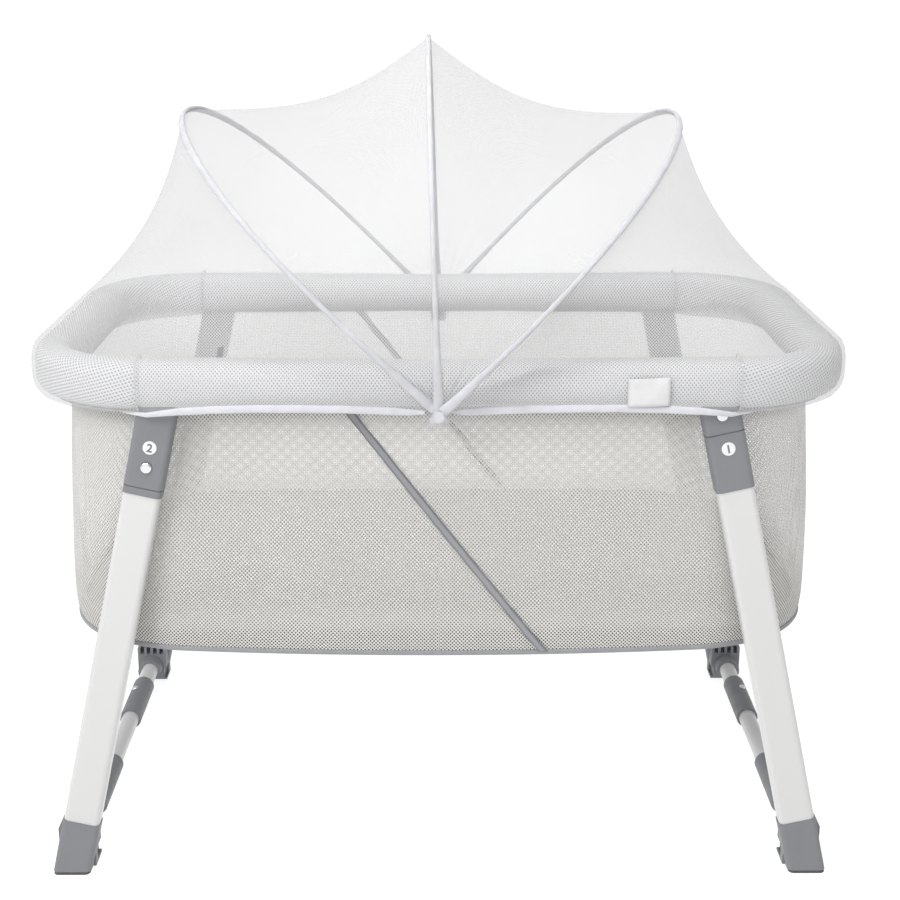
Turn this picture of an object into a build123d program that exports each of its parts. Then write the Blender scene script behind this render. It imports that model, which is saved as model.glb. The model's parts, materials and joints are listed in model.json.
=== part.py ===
from build123d import *

import math
import os

# Bassinet on a knock-down stand, in millimetres.
# +Z is up, +X runs along the basket, -Y is the front.
# The origin is on the floor, under the middle of the basket.
# Legs: 1 front right, 2 front left, 3 back left, 4 back right.

os.makedirs("parts", exist_ok=True)

# ---------------------------------------------------------------- driving dimensions
# rim: a bent tube in a foam pad with a mesh cover
RIM_LENGTH = 900.0
RIM_DEPTH = 530.0
RIM_TOP = 596.0
PAD_WIDTH = 46.0
PAD_HEIGHT = 58.0
PAD_ROUND = 20.0
RIM_CORNER = 112.0
RIM_TUBE_D = 22.0
TUBE_WALL = 1.5
COUPLER_HALF = 60.0
COUPLER_WALL = 1.6
COVER_THICK = 1.5
FOAM_GAP = 0.1
POCKET_GAP = 0.5

# basket: a flared tub of mesh with a stiff base and a mattress
BASKET_FLOOR = 262.0
BASKET_TOP_HALF = (412.0, 228.0)
BASKET_LOW_HALF = (430.0, 236.0)
BASKET_TOP_ROUND = 112.0
BASKET_LOW_ROUND = 145.0
FABRIC_THICK = 2.0
PIPING_D = 4.0
PIPING_INSET = 4.0
TAPE_TOP_X = -101.0
TAPE_LOW_X = 116.0
TAPE_WIDTH = 10.0
TAPE_THICK = 1.0
BOARD_THICK = 4.0
BOARD_INSET = 5.0
MATTRESS_THICK = 28.0
MATTRESS_INSET = 8.0
MATTRESS_ROUND = 8.0
LAYER_GAP = 0.2

# leg sockets: a clamp round the rim tube and a hollow sleeve down the leg's axis
CLAMP_D = 31.0
CLAMP_LENGTH = 46.0
SCREW_D = 4.0
SCREW_HEAD_D = 8.0
SCREW_HEAD_THICK = 2.0
SCREW_OFFSET = 16.0
SOCKET_TOP = 10.0
LONG_SEAM = 114.0
SHORT_SEAM = 53.5
SEAM_GROOVE = 1.2
BORE_FIT = 0.05
PLUG_FIT = 0.1
PLUG_END_GAP = 1.0

# legs: splayed flat-sided tubes with a moulded sleeve at the top and a foot below
LEG_TOP_X = 290.0
SPLAY_X = 0.225
SPLAY_Y = 0.040
LEG_SECTION = (40.0, 24.0)
SLEEVE_SECTION = (42.0, 26.0)
SECTION_ROUND = 6.0
LEG_WALL = 2.0
SLEEVE_END_LONG_SOCKET = 123.0
SLEEVE_END_SHORT_SOCKET = 118.0
PLUG_LONG = 46.0
PLUG_SHORT = 33.0
PLUG_SECTION = (34.0, 18.0)
PLUG_ROUND = 4.0
TUBE_PLUG = 32.0
FOOT_PLUG = 30.0
FOOT_HEIGHT = 64.0
FOOT_LENGTH = 70.0
FOOT_PAD_THICK = 4.0
FOOT_PAD_RISE = 20.0

# snap buttons: a domed pin with a leaf spring behind it
BUTTON_LONG = 91.3
BUTTON_SHORT = 34.0
BUTTON_D = 12.5
BUTTON_INNER = -0.5
BUTTON_PROUD = 2.5
BUTTON_FIT = 0.2
BUTTON_HOLE_FIT = 0.3
BUTTON_CUT = 30.0
POCKET_DEPTH = 8.2
LEAF_LENGTH = 20.0
LEAF_WIDTH = 6.0
LEAF_THICK = 0.8
LEAF_END_GAP = 1.0
LEAF_SIDE_GAP = 0.5

# foot brackets: a block with a collar for the crossbar's stub, ribs on top and a recess
BRACKET_Y = 232.0
BRACKET_TOP = 52.0
COLLAR_D = 30.0
COLLAR_OVERLAP = 2.0
STUB_DEPTH = 34.0
RIB_SLOTS = (-1.5, -0.5, 0.5, 1.5)
RIB_PITCH = 9.0
RIB_SLOT_WIDTH = 5.4
RIB_DEPTH = 9.0
RIB_RUN = 14.0
RECESS = (9.0, 20.0, 15.0)
RECESS_BACK = 22.0
RECESS_LIFT = 3.0

# crossbars: a middle tube, moulded plugs on its ends and a stub tube from each foot
BAR_HEIGHT = 26.0
BAR_TUBE_D = 22.0
BAR_JOINT_D = 28.0
BAR_SPIGOT_D = 20.0
BAR_JOINT_START = 62.0
BAR_TUBE_LAP = 30.0
BAR_SEAM = 108.0
SPIGOT_END = 142.0
BAR_JOINT_END = 165.0
BAR_JOINT_ROUND = 2.0
BAR_COLLAR = 213.0
BAR_BUTTON_TILT = 20.0
BAR_BUTTON_Y = 128.0
BAR_BUTTON_D = 8.0
STUB_GAP = 3.0
STUB_END_GAP = 0.5

# canopy: three sprung hoops on one pair of pins, and the net over them
BRACKET_WIDTH = 24.0
ARM_THICK = 6.0
ARM_NARROWER = 4.0
ARM_SHORTER = 6.0
ARM_TOP_GAP = 1.0
PIVOT_PLATE = 5.0
PLATE_ROUND = 8.0
PLATE_GAP = 0.5
PIN_D = 5.0
PIN_HEAD_D = 11.0
CAP_THICK = 5.0
CAP_GAP = 0.3
CAP_FIT = 0.02
CAP_BORE_OVER = 0.1
EYE_D = 12.0
EYE_THICK = 4.4
EYE_START = 4.2
EYE_REACH = 14.0
HUB_Z = 543.0
HUB_Y = 276.0
HUB_STEP = 5.0
HOOPS = ("left", "mid", "right")
HOOP_D = 4.0
HOOP_BULGE = 0.45
HOOP_TURNS = 12
BEND_SHARE = 0.45
HOOP_RISE = {"left": 409.0, "mid": 370.0, "right": 394.0}
HOOP_LEAN = {"left": -45.5, "mid": -1.8, "right": 44.0}
NET_THICK = 0.8
NET_INSET = 8.0
NET_START = 24.0
NET_POINTS = 12
NET_CREST = 1.5
HEM_Z = 545.0
HEM_START = 60.0
HEM_GAP = 5.0

# ---------------------------------------------------------------- derived places
PAD_MID_Z = RIM_TOP - PAD_HEIGHT / 2
PAD_BOTTOM = RIM_TOP - PAD_HEIGHT
RIM_X = RIM_LENGTH / 2 - PAD_WIDTH / 2
RIM_Y = RIM_DEPTH / 2 - PAD_WIDTH / 2
LEG_DROP = math.sqrt(1 + SPLAY_X ** 2 + SPLAY_Y ** 2)
BAR_X = LEG_TOP_X + SPLAY_X * (PAD_MID_Z - BAR_HEIGHT)
FOOT_Y = RIM_Y + SPLAY_Y * (PAD_MID_Z - BAR_HEIGHT)

# Each leg: sign along X, sign along Y, and whether the socket is the long half of the joint.
LEGS = {
    1: (1, -1, False),
    2: (-1, -1, True),
    3: (-1, 1, False),
    4: (1, 1, True),
}


def save(part, name):
    part.label = name
    export_step(part, f"parts/{name}.step")


def leg_frame(leg, distance):
    """Plane across the leg, at a distance down its axis from the rim tube, facing down it.

    Its x axis runs along the basket and its y axis faces out, away from the basket."""
    side, face, _ = LEGS[leg]
    down = Vector(side * SPLAY_X, face * SPLAY_Y, -1).normalized()
    top = Vector(side * LEG_TOP_X, face * RIM_Y, PAD_MID_Z)
    across = Vector(1, 0, 0) * (-face)
    across = (across - down * across.dot(down)).normalized()
    return Plane(origin=top + down * distance, x_dir=across, z_dir=down)


def leg_distance(height):
    """Distance down the leg axis at which the axis reaches a height above the floor."""
    return (PAD_MID_Z - height) * LEG_DROP


def tube_bore(clearance):
    """The section inside a leg tube, less a clearance."""
    return (LEG_SECTION[0] - 2 * LEG_WALL - clearance, LEG_SECTION[1] - 2 * LEG_WALL - clearance)


def leg_block(leg, start, end, section, radius=SECTION_ROUND, mode=Mode.ADD):
    """A length of rounded bar along the leg axis."""
    with BuildSketch(leg_frame(leg, start)) as outline:
        RectangleRounded(section[0], section[1], radius)
    extrude(outline.sketch, amount=end - start, mode=mode)


def round_bar(plane, radius, length, mode=Mode.ADD):
    """A length of round bar that starts on a plane and runs along its normal."""
    with BuildSketch(plane) as outline:
        Circle(radius)
    extrude(outline.sketch, amount=length, mode=mode)


def block(plane, width, height, length, mode=Mode.ADD):
    """A square-edged block that starts on a plane and runs along its normal."""
    with BuildSketch(plane) as outline:
        Rectangle(width, height)
    extrude(outline.sketch, amount=length, mode=mode)


def rim_ring(width, height, radius, mode=Mode.ADD):
    """A closed ring of rounded rectangular section round the rim's centre line."""
    with BuildLine(Plane.XY.offset(PAD_MID_Z)) as route:
        ring_route(RIM_X, RIM_Y, RIM_CORNER)
    start = Plane(origin=(0, -RIM_Y, PAD_MID_Z), x_dir=(0, 1, 0), z_dir=(1, 0, 0))
    with BuildSketch(start) as section:
        RectangleRounded(width, height, radius)
    sweep(section.sketch, path=route.wire(), mode=mode)


def ring_route(x, y, r):
    """A rounded rectangle that starts at the middle of the front, of half sizes x and y."""
    Line((0, -y), (x - r, -y))
    RadiusArc((x - r, -y), (x, -y + r), -r)
    Line((x, -y + r), (x, y - r))
    RadiusArc((x, y - r), (x - r, y), -r)
    Line((x - r, y), (-x + r, y))
    RadiusArc((-x + r, y), (-x, y - r), -r)
    Line((-x, y - r), (-x, -y + r))
    RadiusArc((-x, -y + r), (-x + r, -y), -r)
    Line((-x + r, -y), (0, -y))


# ---------------------------------------------------------------- rim frame
def make_rim_half(side, name):
    """One U-shaped half of the rim tube, open towards the middle of the basket."""
    x, y, r = RIM_X, RIM_Y, RIM_CORNER
    with BuildPart() as half:
        with BuildLine(Plane.XY.offset(PAD_MID_Z)) as route:
            Line((0, -y), (side * (x - r), -y))
            RadiusArc((side * (x - r), -y), (side * x, -y + r), -side * r)
            Line((side * x, -y + r), (side * x, y - r))
            RadiusArc((side * x, y - r), (side * (x - r), y), -side * r)
            Line((side * (x - r), y), (0, y))
        start = Plane(origin=(0, -y, PAD_MID_Z), x_dir=(0, 1, 0), z_dir=(side, 0, 0))
        with BuildSketch(start):
            Circle(RIM_TUBE_D / 2)
            Circle(RIM_TUBE_D / 2 - TUBE_WALL, mode=Mode.SUBTRACT)
        sweep(path=route.wire())
    save(half.part, name)


def make_rim_couplers():
    """The two sleeves inside the tube that join its halves, in the middle of each long side."""
    with BuildPart() as couplers:
        for face in (-1, 1):
            start = (-COUPLER_HALF, face * RIM_Y, PAD_MID_Z)
            outer = RIM_TUBE_D / 2 - TUBE_WALL - FOAM_GAP
            with BuildSketch(Plane(origin=start, x_dir=(0, 1, 0), z_dir=(1, 0, 0))):
                Circle(outer)
                Circle(outer - COUPLER_WALL, mode=Mode.SUBTRACT)
            extrude(amount=2 * COUPLER_HALF)
    save(couplers.part, "rim_couplers")


def cut_rim_pockets():
    """Room in the pad for the four leg sockets and the two canopy brackets."""
    room = 2 * POCKET_GAP
    for leg in LEGS:
        pocket = (CLAMP_LENGTH + room, SLEEVE_SECTION[1] + room)
        leg_block(leg, 0, PAD_HEIGHT, pocket, mode=Mode.SUBTRACT)
        clamp = clamp_plane(leg, CLAMP_LENGTH + room)
        round_bar(clamp, CLAMP_D / 2 + POCKET_GAP, CLAMP_LENGTH + room, Mode.SUBTRACT)
        head_top = CLAMP_D / 2 + SCREW_HEAD_THICK + room
        round_bar(screw_plane(leg), SCREW_HEAD_D / 2 + POCKET_GAP, head_top, Mode.SUBTRACT)
    for face in (-1, 1):
        plane = Plane(origin=(0, face * RIM_Y, PAD_BOTTOM - room))
        height = PAD_MID_Z - PAD_BOTTOM + room + CLAMP_D / 2 + POCKET_GAP
        block(plane, BRACKET_WIDTH + room, CLAMP_D + room, height, Mode.SUBTRACT)


def clamp_plane(leg, length):
    """Plane across the rim tube at the start of a socket's clamp of a given length."""
    side, face, _ = LEGS[leg]
    return Plane(origin=(side * LEG_TOP_X - length / 2, face * RIM_Y, PAD_MID_Z), z_dir=(1, 0, 0))


def make_rim_foam():
    """The foam sleeve round the rim tube, bored for the tube and cut for what clamps it."""
    with BuildPart() as foam:
        rim_ring(PAD_WIDTH - 2 * COVER_THICK, PAD_HEIGHT - 2 * COVER_THICK, PAD_ROUND - COVER_THICK)
        bore = RIM_TUBE_D + 2 * FOAM_GAP
        rim_ring(bore, bore, RIM_TUBE_D / 2, mode=Mode.SUBTRACT)
        cut_rim_pockets()
    save(foam.part, "rim_foam")


def make_rim_cover():
    """The mesh cover drawn over the foam."""
    with BuildPart() as cover:
        rim_ring(PAD_WIDTH, PAD_HEIGHT, PAD_ROUND)
        rim_ring(PAD_WIDTH - 2 * COVER_THICK, PAD_HEIGHT - 2 * COVER_THICK, PAD_ROUND - COVER_THICK,
                 mode=Mode.SUBTRACT)
        cut_rim_pockets()
    save(cover.part, "rim_cover")


# ---------------------------------------------------------------- leg sockets
def make_leg_socket(leg):
    """A moulded clamp round the rim tube with the hollow sleeve that takes the leg's plug."""
    long_socket = LEGS[leg][2]
    seam = LONG_SEAM if long_socket else SHORT_SEAM
    plug = PLUG_LONG if long_socket else PLUG_SHORT
    button = BUTTON_LONG if long_socket else BUTTON_SHORT
    clamp = clamp_plane(leg, CLAMP_LENGTH)
    cavity = (PLUG_SECTION[0] + 2 * PLUG_FIT, PLUG_SECTION[1] + 2 * PLUG_FIT)
    with BuildPart() as socket:
        round_bar(clamp, CLAMP_D / 2, CLAMP_LENGTH)
        leg_block(leg, SOCKET_TOP, seam, SLEEVE_SECTION)
        tube_run = 2 * CLAMP_LENGTH
        round_bar(clamp_plane(leg, tube_run), RIM_TUBE_D / 2 + BORE_FIT, tube_run, Mode.SUBTRACT)
        leg_block(leg, seam - plug - PLUG_END_GAP, seam, cavity, PLUG_ROUND, Mode.SUBTRACT)
        hole = BUTTON_D / 2 + BUTTON_HOLE_FIT
        round_bar(button_plane(leg, button), hole, SLEEVE_SECTION[1], Mode.SUBTRACT)
        round_bar(screw_plane(leg), SCREW_D / 2 + BORE_FIT, CLAMP_D, Mode.SUBTRACT)
    save(socket.part, f"leg_socket_{leg}")


def screw_plane(leg):
    """Level plane through the rim tube's centre, at the screw that enters the clamp from above."""
    side, face, _ = LEGS[leg]
    origin = (side * (LEG_TOP_X - SCREW_OFFSET), face * RIM_Y, PAD_MID_Z)
    return Plane(origin=origin, x_dir=(1, 0, 0), z_dir=(0, 0, 1))


def make_socket_screws():
    """Four pan-head screws, one down through the top of each socket's clamp."""
    with BuildPart() as screws:
        for leg in LEGS:
            plane = screw_plane(leg)
            tip = RIM_TUBE_D / 2 + 2 * FOAM_GAP
            round_bar(plane.offset(tip), SCREW_D / 2, CLAMP_D / 2 - tip)
            round_bar(plane.offset(CLAMP_D / 2), SCREW_HEAD_D / 2, SCREW_HEAD_THICK)
    save(screws.part, "socket_screws")


def button_plane(leg, distance):
    """Plane on the leg axis that faces straight out through the leg's front face."""
    frame = leg_frame(leg, distance)
    return Plane(origin=frame.origin, x_dir=frame.x_dir, z_dir=frame.y_dir)


# ---------------------------------------------------------------- legs
def make_leg_sleeve(leg):
    """The moulded collar at the top of a leg, with its plugs up and down."""
    long_socket = LEGS[leg][2]
    seam = LONG_SEAM if long_socket else SHORT_SEAM
    end = SLEEVE_END_LONG_SOCKET if long_socket else SLEEVE_END_SHORT_SOCKET
    plug = PLUG_LONG if long_socket else PLUG_SHORT
    button = BUTTON_LONG if long_socket else BUTTON_SHORT
    inner = tube_bore(PLUG_FIT)
    with BuildPart() as sleeve:
        leg_block(leg, seam, seam + SEAM_GROOVE, LEG_SECTION)
        leg_block(leg, seam + SEAM_GROOVE, end, SLEEVE_SECTION)
        leg_block(leg, seam - plug, seam, PLUG_SECTION, PLUG_ROUND)
        leg_block(leg, end, end + TUBE_PLUG, inner, PLUG_ROUND)
        bore = button_plane(leg, button).offset(-POCKET_DEPTH)
        round_bar(bore, BUTTON_D / 2 + BUTTON_FIT, BUTTON_CUT, Mode.SUBTRACT)
        leaf = button_plane(leg, button + LEAF_LENGTH / 2).offset(-POCKET_DEPTH)
        slot = (LEAF_WIDTH + 2 * LEAF_SIDE_GAP, LEAF_LENGTH + 2 * LEAF_END_GAP)
        block(leaf, *slot, POCKET_DEPTH + LEAF_THICK + LEAF_SIDE_GAP, Mode.SUBTRACT)
    save(sleeve.part, f"leg_sleeve_{leg}")


def snap_button(plane, surface, leaf_dir, diameter):
    """A domed pin that stands proud of a surface, with the leaf spring behind it."""
    length = surface + BUTTON_PROUD - BUTTON_INNER
    round_bar(plane.offset(BUTTON_INNER), diameter / 2, length)
    fillet(faces().sort_by(Axis(plane.origin, plane.z_dir))[-1].edges(), BUTTON_PROUD - BUTTON_FIT)
    middle = plane.origin + leaf_dir * (LEAF_LENGTH / 2)
    leaf = Plane(origin=middle, x_dir=leaf_dir, z_dir=plane.z_dir)
    block(leaf.offset(BUTTON_INNER), LEAF_LENGTH, LEAF_WIDTH, LEAF_THICK)


def make_leg_button(leg):
    """The snap button that locks a leg in its socket."""
    distance = BUTTON_LONG if LEGS[leg][2] else BUTTON_SHORT
    plane = button_plane(leg, distance)
    with BuildPart() as button:
        snap_button(plane, SLEEVE_SECTION[1] / 2, leg_frame(leg, 0).z_dir, BUTTON_D)
    save(button.part, f"leg_button_{leg}")


def make_leg_tube(leg):
    """The flat-sided aluminium tube of a leg."""
    start = SLEEVE_END_LONG_SOCKET if LEGS[leg][2] else SLEEVE_END_SHORT_SOCKET
    end = leg_distance(FOOT_HEIGHT)
    with BuildPart() as tube:
        leg_block(leg, start, end, LEG_SECTION)
        leg_block(leg, start, end, tube_bore(0), SECTION_ROUND - LEG_WALL, mode=Mode.SUBTRACT)
    save(tube.part, f"leg_tube_{leg}")


def make_leg_foot(leg):
    """The moulded foot, cut level at the bottom, with the ribbed bracket for the crossbar."""
    side, face, _ = LEGS[leg]
    start = leg_distance(FOOT_HEIGHT)
    inner = tube_bore(PLUG_FIT)
    depth = FOOT_Y - BRACKET_Y
    bar = Plane(origin=(side * BAR_X, face * BAR_COLLAR, BAR_HEIGHT), z_dir=(0, face, 0))
    ribs = Vector(side * BAR_X, face * (BRACKET_Y + RIB_RUN / 2), BRACKET_TOP - RIB_DEPTH)
    recess_x = BAR_X - SLEEVE_SECTION[0] / 2
    recess = Plane(origin=(side * recess_x, face * (FOOT_Y - RECESS_BACK), FOOT_PAD_THICK + RECESS_LIFT))
    with BuildPart() as foot:
        leg_block(leg, start, start + FOOT_LENGTH, SLEEVE_SECTION)
        leg_block(leg, start - FOOT_PLUG, start, inner, PLUG_ROUND)
        base = Plane(origin=(side * BAR_X, face * (BRACKET_Y + depth / 2), FOOT_PAD_THICK))
        block(base, LEG_SECTION[0], depth, BRACKET_TOP - FOOT_PAD_THICK)
        round_bar(bar, COLLAR_D / 2, BRACKET_Y - BAR_COLLAR + COLLAR_OVERLAP)
        round_bar(bar, BAR_TUBE_D / 2 + BORE_FIT, STUB_DEPTH, Mode.SUBTRACT)
        for slot in RIB_SLOTS:
            gap = Plane(origin=ribs + Vector(slot * RIB_PITCH, 0, 0))
            block(gap, RIB_SLOT_WIDTH, RIB_RUN, RIB_DEPTH, Mode.SUBTRACT)
        block(recess, *RECESS, Mode.SUBTRACT)
        split(bisect_by=Plane.XY.offset(FOOT_PAD_THICK), keep=Keep.TOP)
    save(foot.part, f"leg_foot_{leg}")


def make_foot_pad(leg):
    """The rubber pad under a foot."""
    start = leg_distance(FOOT_PAD_THICK + FOOT_PAD_RISE)
    with BuildPart() as pad:
        leg_block(leg, start, start + 2 * FOOT_PAD_RISE, LEG_SECTION)
        split(bisect_by=Plane.XY.offset(FOOT_PAD_THICK), keep=Keep.BOTTOM)
        split(bisect_by=Plane.XY, keep=Keep.TOP)
    save(pad.part, f"foot_pad_{leg}")


# ---------------------------------------------------------------- crossbars
def bar_plane(side, face, y):
    """Plane across a crossbar, facing from the middle of the bar towards the foot."""
    return Plane(origin=(side * BAR_X, face * y, BAR_HEIGHT), x_dir=(1, 0, 0), z_dir=(0, face, 0))


def bar_tube(side, face, start, end, radius, mode=Mode.ADD):
    """A length of round bar along a crossbar."""
    round_bar(bar_plane(side, face, start), radius, end - start, mode)


def bar_button_plane(side, face):
    """Plane on the bar's axis that faces up, leaning out by the button's tilt."""
    tilt = math.radians(BAR_BUTTON_TILT)
    up = Vector(side * math.sin(tilt), 0, math.cos(tilt))
    return Plane(origin=(side * BAR_X, face * BAR_BUTTON_Y, BAR_HEIGHT), x_dir=(0, 1, 0), z_dir=up)


def make_crossbar(side, name):
    """The middle tube of a crossbar, and the two moulded plugs on its ends."""
    tube_end = BAR_JOINT_START + BAR_TUBE_LAP
    with BuildPart() as tube:
        bar_tube(side, 1, -tube_end, tube_end, BAR_TUBE_D / 2)
        bar_tube(side, 1, -tube_end, tube_end, BAR_TUBE_D / 2 - TUBE_WALL, mode=Mode.SUBTRACT)
    save(tube.part, f"crossbar_tube_{name}")

    with BuildPart() as plugs:
        for face in (-1, 1):
            bar_tube(side, face, BAR_JOINT_START, BAR_SEAM, BAR_JOINT_D / 2)
            bar_tube(side, face, BAR_SEAM, SPIGOT_END, BAR_SPIGOT_D / 2)
            bore = BAR_TUBE_D / 2 + BORE_FIT
            bar_tube(side, face, BAR_JOINT_START, tube_end + PLUG_FIT, bore, mode=Mode.SUBTRACT)
            up = bar_button_plane(side, face)
            pin_bore = BAR_BUTTON_D / 2 + BUTTON_FIT
            round_bar(up.offset(-POCKET_DEPTH), pin_bore, BUTTON_CUT, Mode.SUBTRACT)
            inward = Vector(0, -face, 0)
            leaf = Plane(origin=up.origin + inward * (LEAF_LENGTH / 2), x_dir=inward, z_dir=up.z_dir)
            slot = (LEAF_LENGTH + 2 * LEAF_END_GAP, LEAF_WIDTH + 2 * LEAF_SIDE_GAP)
            block(leaf.offset(-POCKET_DEPTH), *slot, POCKET_DEPTH + LEAF_THICK, Mode.SUBTRACT)
    save(plugs.part, f"crossbar_plugs_{name}")


def make_stub(leg):
    """The short tube held in a foot's bracket, and the moulded socket on its inner end."""
    side, face, _ = LEGS[leg]
    start = SPIGOT_END + STUB_GAP
    end = BAR_COLLAR + STUB_DEPTH - STUB_END_GAP
    with BuildPart() as tube:
        bar_tube(side, face, start, end, BAR_TUBE_D / 2)
        bar_tube(side, face, start, end, BAR_TUBE_D / 2 - TUBE_WALL, mode=Mode.SUBTRACT)
    save(tube.part, f"stub_tube_{leg}")

    with BuildPart() as socket:
        bar_tube(side, face, BAR_SEAM, BAR_JOINT_END, BAR_JOINT_D / 2)
        fillet(faces().sort_by(Axis.Y)[-1 if face > 0 else 0].edges(), BAR_JOINT_ROUND)
        bar_tube(side, face, BAR_SEAM, BAR_JOINT_END, BAR_SPIGOT_D / 2 + BORE_FIT, mode=Mode.SUBTRACT)
        stub_end = start - PLUG_FIT
        bar_tube(side, face, stub_end, BAR_JOINT_END, BAR_TUBE_D / 2 + BORE_FIT, mode=Mode.SUBTRACT)
        hole = BAR_BUTTON_D / 2 + BUTTON_HOLE_FIT
        round_bar(bar_button_plane(side, face), hole, BAR_JOINT_D, Mode.SUBTRACT)
    save(socket.part, f"stub_socket_{leg}")


def make_bar_button(leg):
    """The snap button that locks a crossbar joint."""
    side, face, _ = LEGS[leg]
    with BuildPart() as button:
        snap_button(bar_button_plane(side, face), BAR_JOINT_D / 2, Vector(0, -face, 0), BAR_BUTTON_D)
    save(button.part, f"bar_button_{leg}")


# ---------------------------------------------------------------- basket
def basket_loft(inset, low, high, mode=Mode.ADD):
    """The tub's flared outline, moved in by an inset, between two heights."""
    outlines = []
    for height in (low, high):
        share = (height - BASKET_FLOOR) / (PAD_BOTTOM - BASKET_FLOOR)
        half_x = BASKET_LOW_HALF[0] + (BASKET_TOP_HALF[0] - BASKET_LOW_HALF[0]) * share - inset
        half_y = BASKET_LOW_HALF[1] + (BASKET_TOP_HALF[1] - BASKET_LOW_HALF[1]) * share - inset
        corner = BASKET_LOW_ROUND + (BASKET_TOP_ROUND - BASKET_LOW_ROUND) * share - inset
        with BuildSketch(Plane.XY.offset(height)) as outline:
            RectangleRounded(2 * half_x, 2 * half_y, corner)
        outlines.append(outline.sketch)
    loft(outlines, ruled=True, mode=mode)


def make_basket_mesh():
    """The fabric tub that hangs from the rim, open at the top."""
    with BuildPart() as tub:
        basket_loft(0, BASKET_FLOOR, PAD_BOTTOM)
        basket_loft(FABRIC_THICK, BASKET_FLOOR + FABRIC_THICK, PAD_BOTTOM, mode=Mode.SUBTRACT)
    save(tub.part, "basket_mesh")


def make_basket_piping():
    """The piped seam round the bottom edge of the tub."""
    x = BASKET_LOW_HALF[0] - PIPING_INSET
    y = BASKET_LOW_HALF[1] - PIPING_INSET
    z = BASKET_FLOOR - PIPING_D / 2
    with BuildPart() as piping:
        with BuildLine(Plane.XY.offset(z)) as route:
            ring_route(x, y, BASKET_LOW_ROUND - PIPING_INSET)
        start = Plane(origin=(0, -y, z), x_dir=(0, 1, 0), z_dir=(1, 0, 0))
        with BuildSketch(start):
            Circle(PIPING_D / 2)
        sweep(path=route.wire())
    save(piping.part, "basket_piping")


def make_seam_tapes():
    """The slanted tapes sewn down both long sides of the tub."""
    half = TAPE_WIDTH / 2
    rise = PAD_BOTTOM - BASKET_FLOOR
    flare = BASKET_LOW_HALF[1] - BASKET_TOP_HALF[1]
    slope = math.hypot(rise, flare)
    with BuildPart() as tapes:
        for face in (-1, 1):
            out = Vector(0, face * rise, flare).normalized()
            wall = Plane(origin=(0, face * BASKET_LOW_HALF[1], BASKET_FLOOR), x_dir=(-face, 0, 0), z_dir=out)
            with BuildSketch(wall):
                with BuildLine():
                    Polyline(
                        (-face * (TAPE_LOW_X - half), TAPE_THICK),
                        (-face * (TAPE_LOW_X + half), TAPE_THICK),
                        (-face * (TAPE_TOP_X + half), slope - TAPE_THICK),
                        (-face * (TAPE_TOP_X - half), slope - TAPE_THICK),
                        close=True,
                    )
                make_face()
            extrude(amount=TAPE_THICK)
    save(tapes.part, "seam_tapes")


def make_base_and_mattress():
    """The stiff base in the bottom of the tub, and the thin mattress on it."""
    board_low = BASKET_FLOOR + FABRIC_THICK + LAYER_GAP
    half_x, half_y = BASKET_LOW_HALF
    with BuildPart() as board:
        with BuildSketch(Plane.XY.offset(board_low)):
            corner = BASKET_LOW_ROUND - BOARD_INSET
            RectangleRounded(2 * (half_x - BOARD_INSET), 2 * (half_y - BOARD_INSET), corner)
        extrude(amount=BOARD_THICK)
    save(board.part, "base_board")

    with BuildPart() as mattress:
        with BuildSketch(Plane.XY.offset(board_low + BOARD_THICK + LAYER_GAP)):
            corner = BASKET_LOW_ROUND - MATTRESS_INSET
            RectangleRounded(2 * (half_x - MATTRESS_INSET), 2 * (half_y - MATTRESS_INSET), corner)
        extrude(amount=MATTRESS_THICK)
        fillet(mattress.faces().sort_by(Axis.Z)[-1].edges(), MATTRESS_ROUND)
    save(mattress.part, "mattress")


# ---------------------------------------------------------------- canopy pivots
def make_canopy_pivots():
    """The brackets that clamp the rim tube and carry the hoops' pins outside the pad."""
    arm_top = PAD_BOTTOM - ARM_TOP_GAP
    arm_low = arm_top - ARM_THICK
    arm_width = BRACKET_WIDTH - ARM_NARROWER
    plate_y = HUB_Y - HUB_STEP / 2 - PIVOT_PLATE - PLATE_GAP
    pin_end = HUB_Y + 3 * HUB_STEP
    with BuildPart() as pivots:
        for face in (-1, 1):
            with BuildSketch(Plane(origin=(-BRACKET_WIDTH / 2, face * RIM_Y, PAD_MID_Z), z_dir=(1, 0, 0))):
                Circle(CLAMP_D / 2)
            extrude(amount=BRACKET_WIDTH)
            with BuildSketch(Plane.XY.offset(arm_low)):
                with Locations((0, face * RIM_Y)):
                    Rectangle(arm_width, CLAMP_D - ARM_SHORTER)
            extrude(amount=PAD_MID_Z - arm_low)
            with BuildSketch(Plane.XY.offset(arm_low)):
                with Locations((0, face * (RIM_Y + plate_y + PIVOT_PLATE) / 2)):
                    Rectangle(arm_width, plate_y + PIVOT_PLATE - RIM_Y)
            extrude(amount=arm_top - arm_low)
            plate = Plane(origin=(0, face * plate_y, HUB_Z), x_dir=(1, 0, 0), z_dir=(0, face, 0))
            with BuildSketch(plane_upright(plate)):
                Circle(PLATE_ROUND)
                with Locations((0, -(HUB_Z - arm_low) / 2)):
                    Rectangle(2 * PLATE_ROUND, HUB_Z - arm_low)
            extrude(amount=PIVOT_PLATE)
            with BuildSketch(plate.offset(PIVOT_PLATE)):
                Circle(PIN_D / 2)
            extrude(amount=pin_end - plate_y - PIVOT_PLATE)
            with BuildSketch(Plane(origin=(-BRACKET_WIDTH / 2, face * RIM_Y, PAD_MID_Z), z_dir=(1, 0, 0))):
                Circle(RIM_TUBE_D / 2 + BORE_FIT)
            extrude(amount=BRACKET_WIDTH, mode=Mode.SUBTRACT)
    save(pivots.part, "canopy_pivots")


def plane_upright(plane):
    """The same plane, turned so that its y axis points up."""
    return Plane(origin=plane.origin, x_dir=Vector(0, 0, 1).cross(plane.z_dir), z_dir=plane.z_dir)


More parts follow.
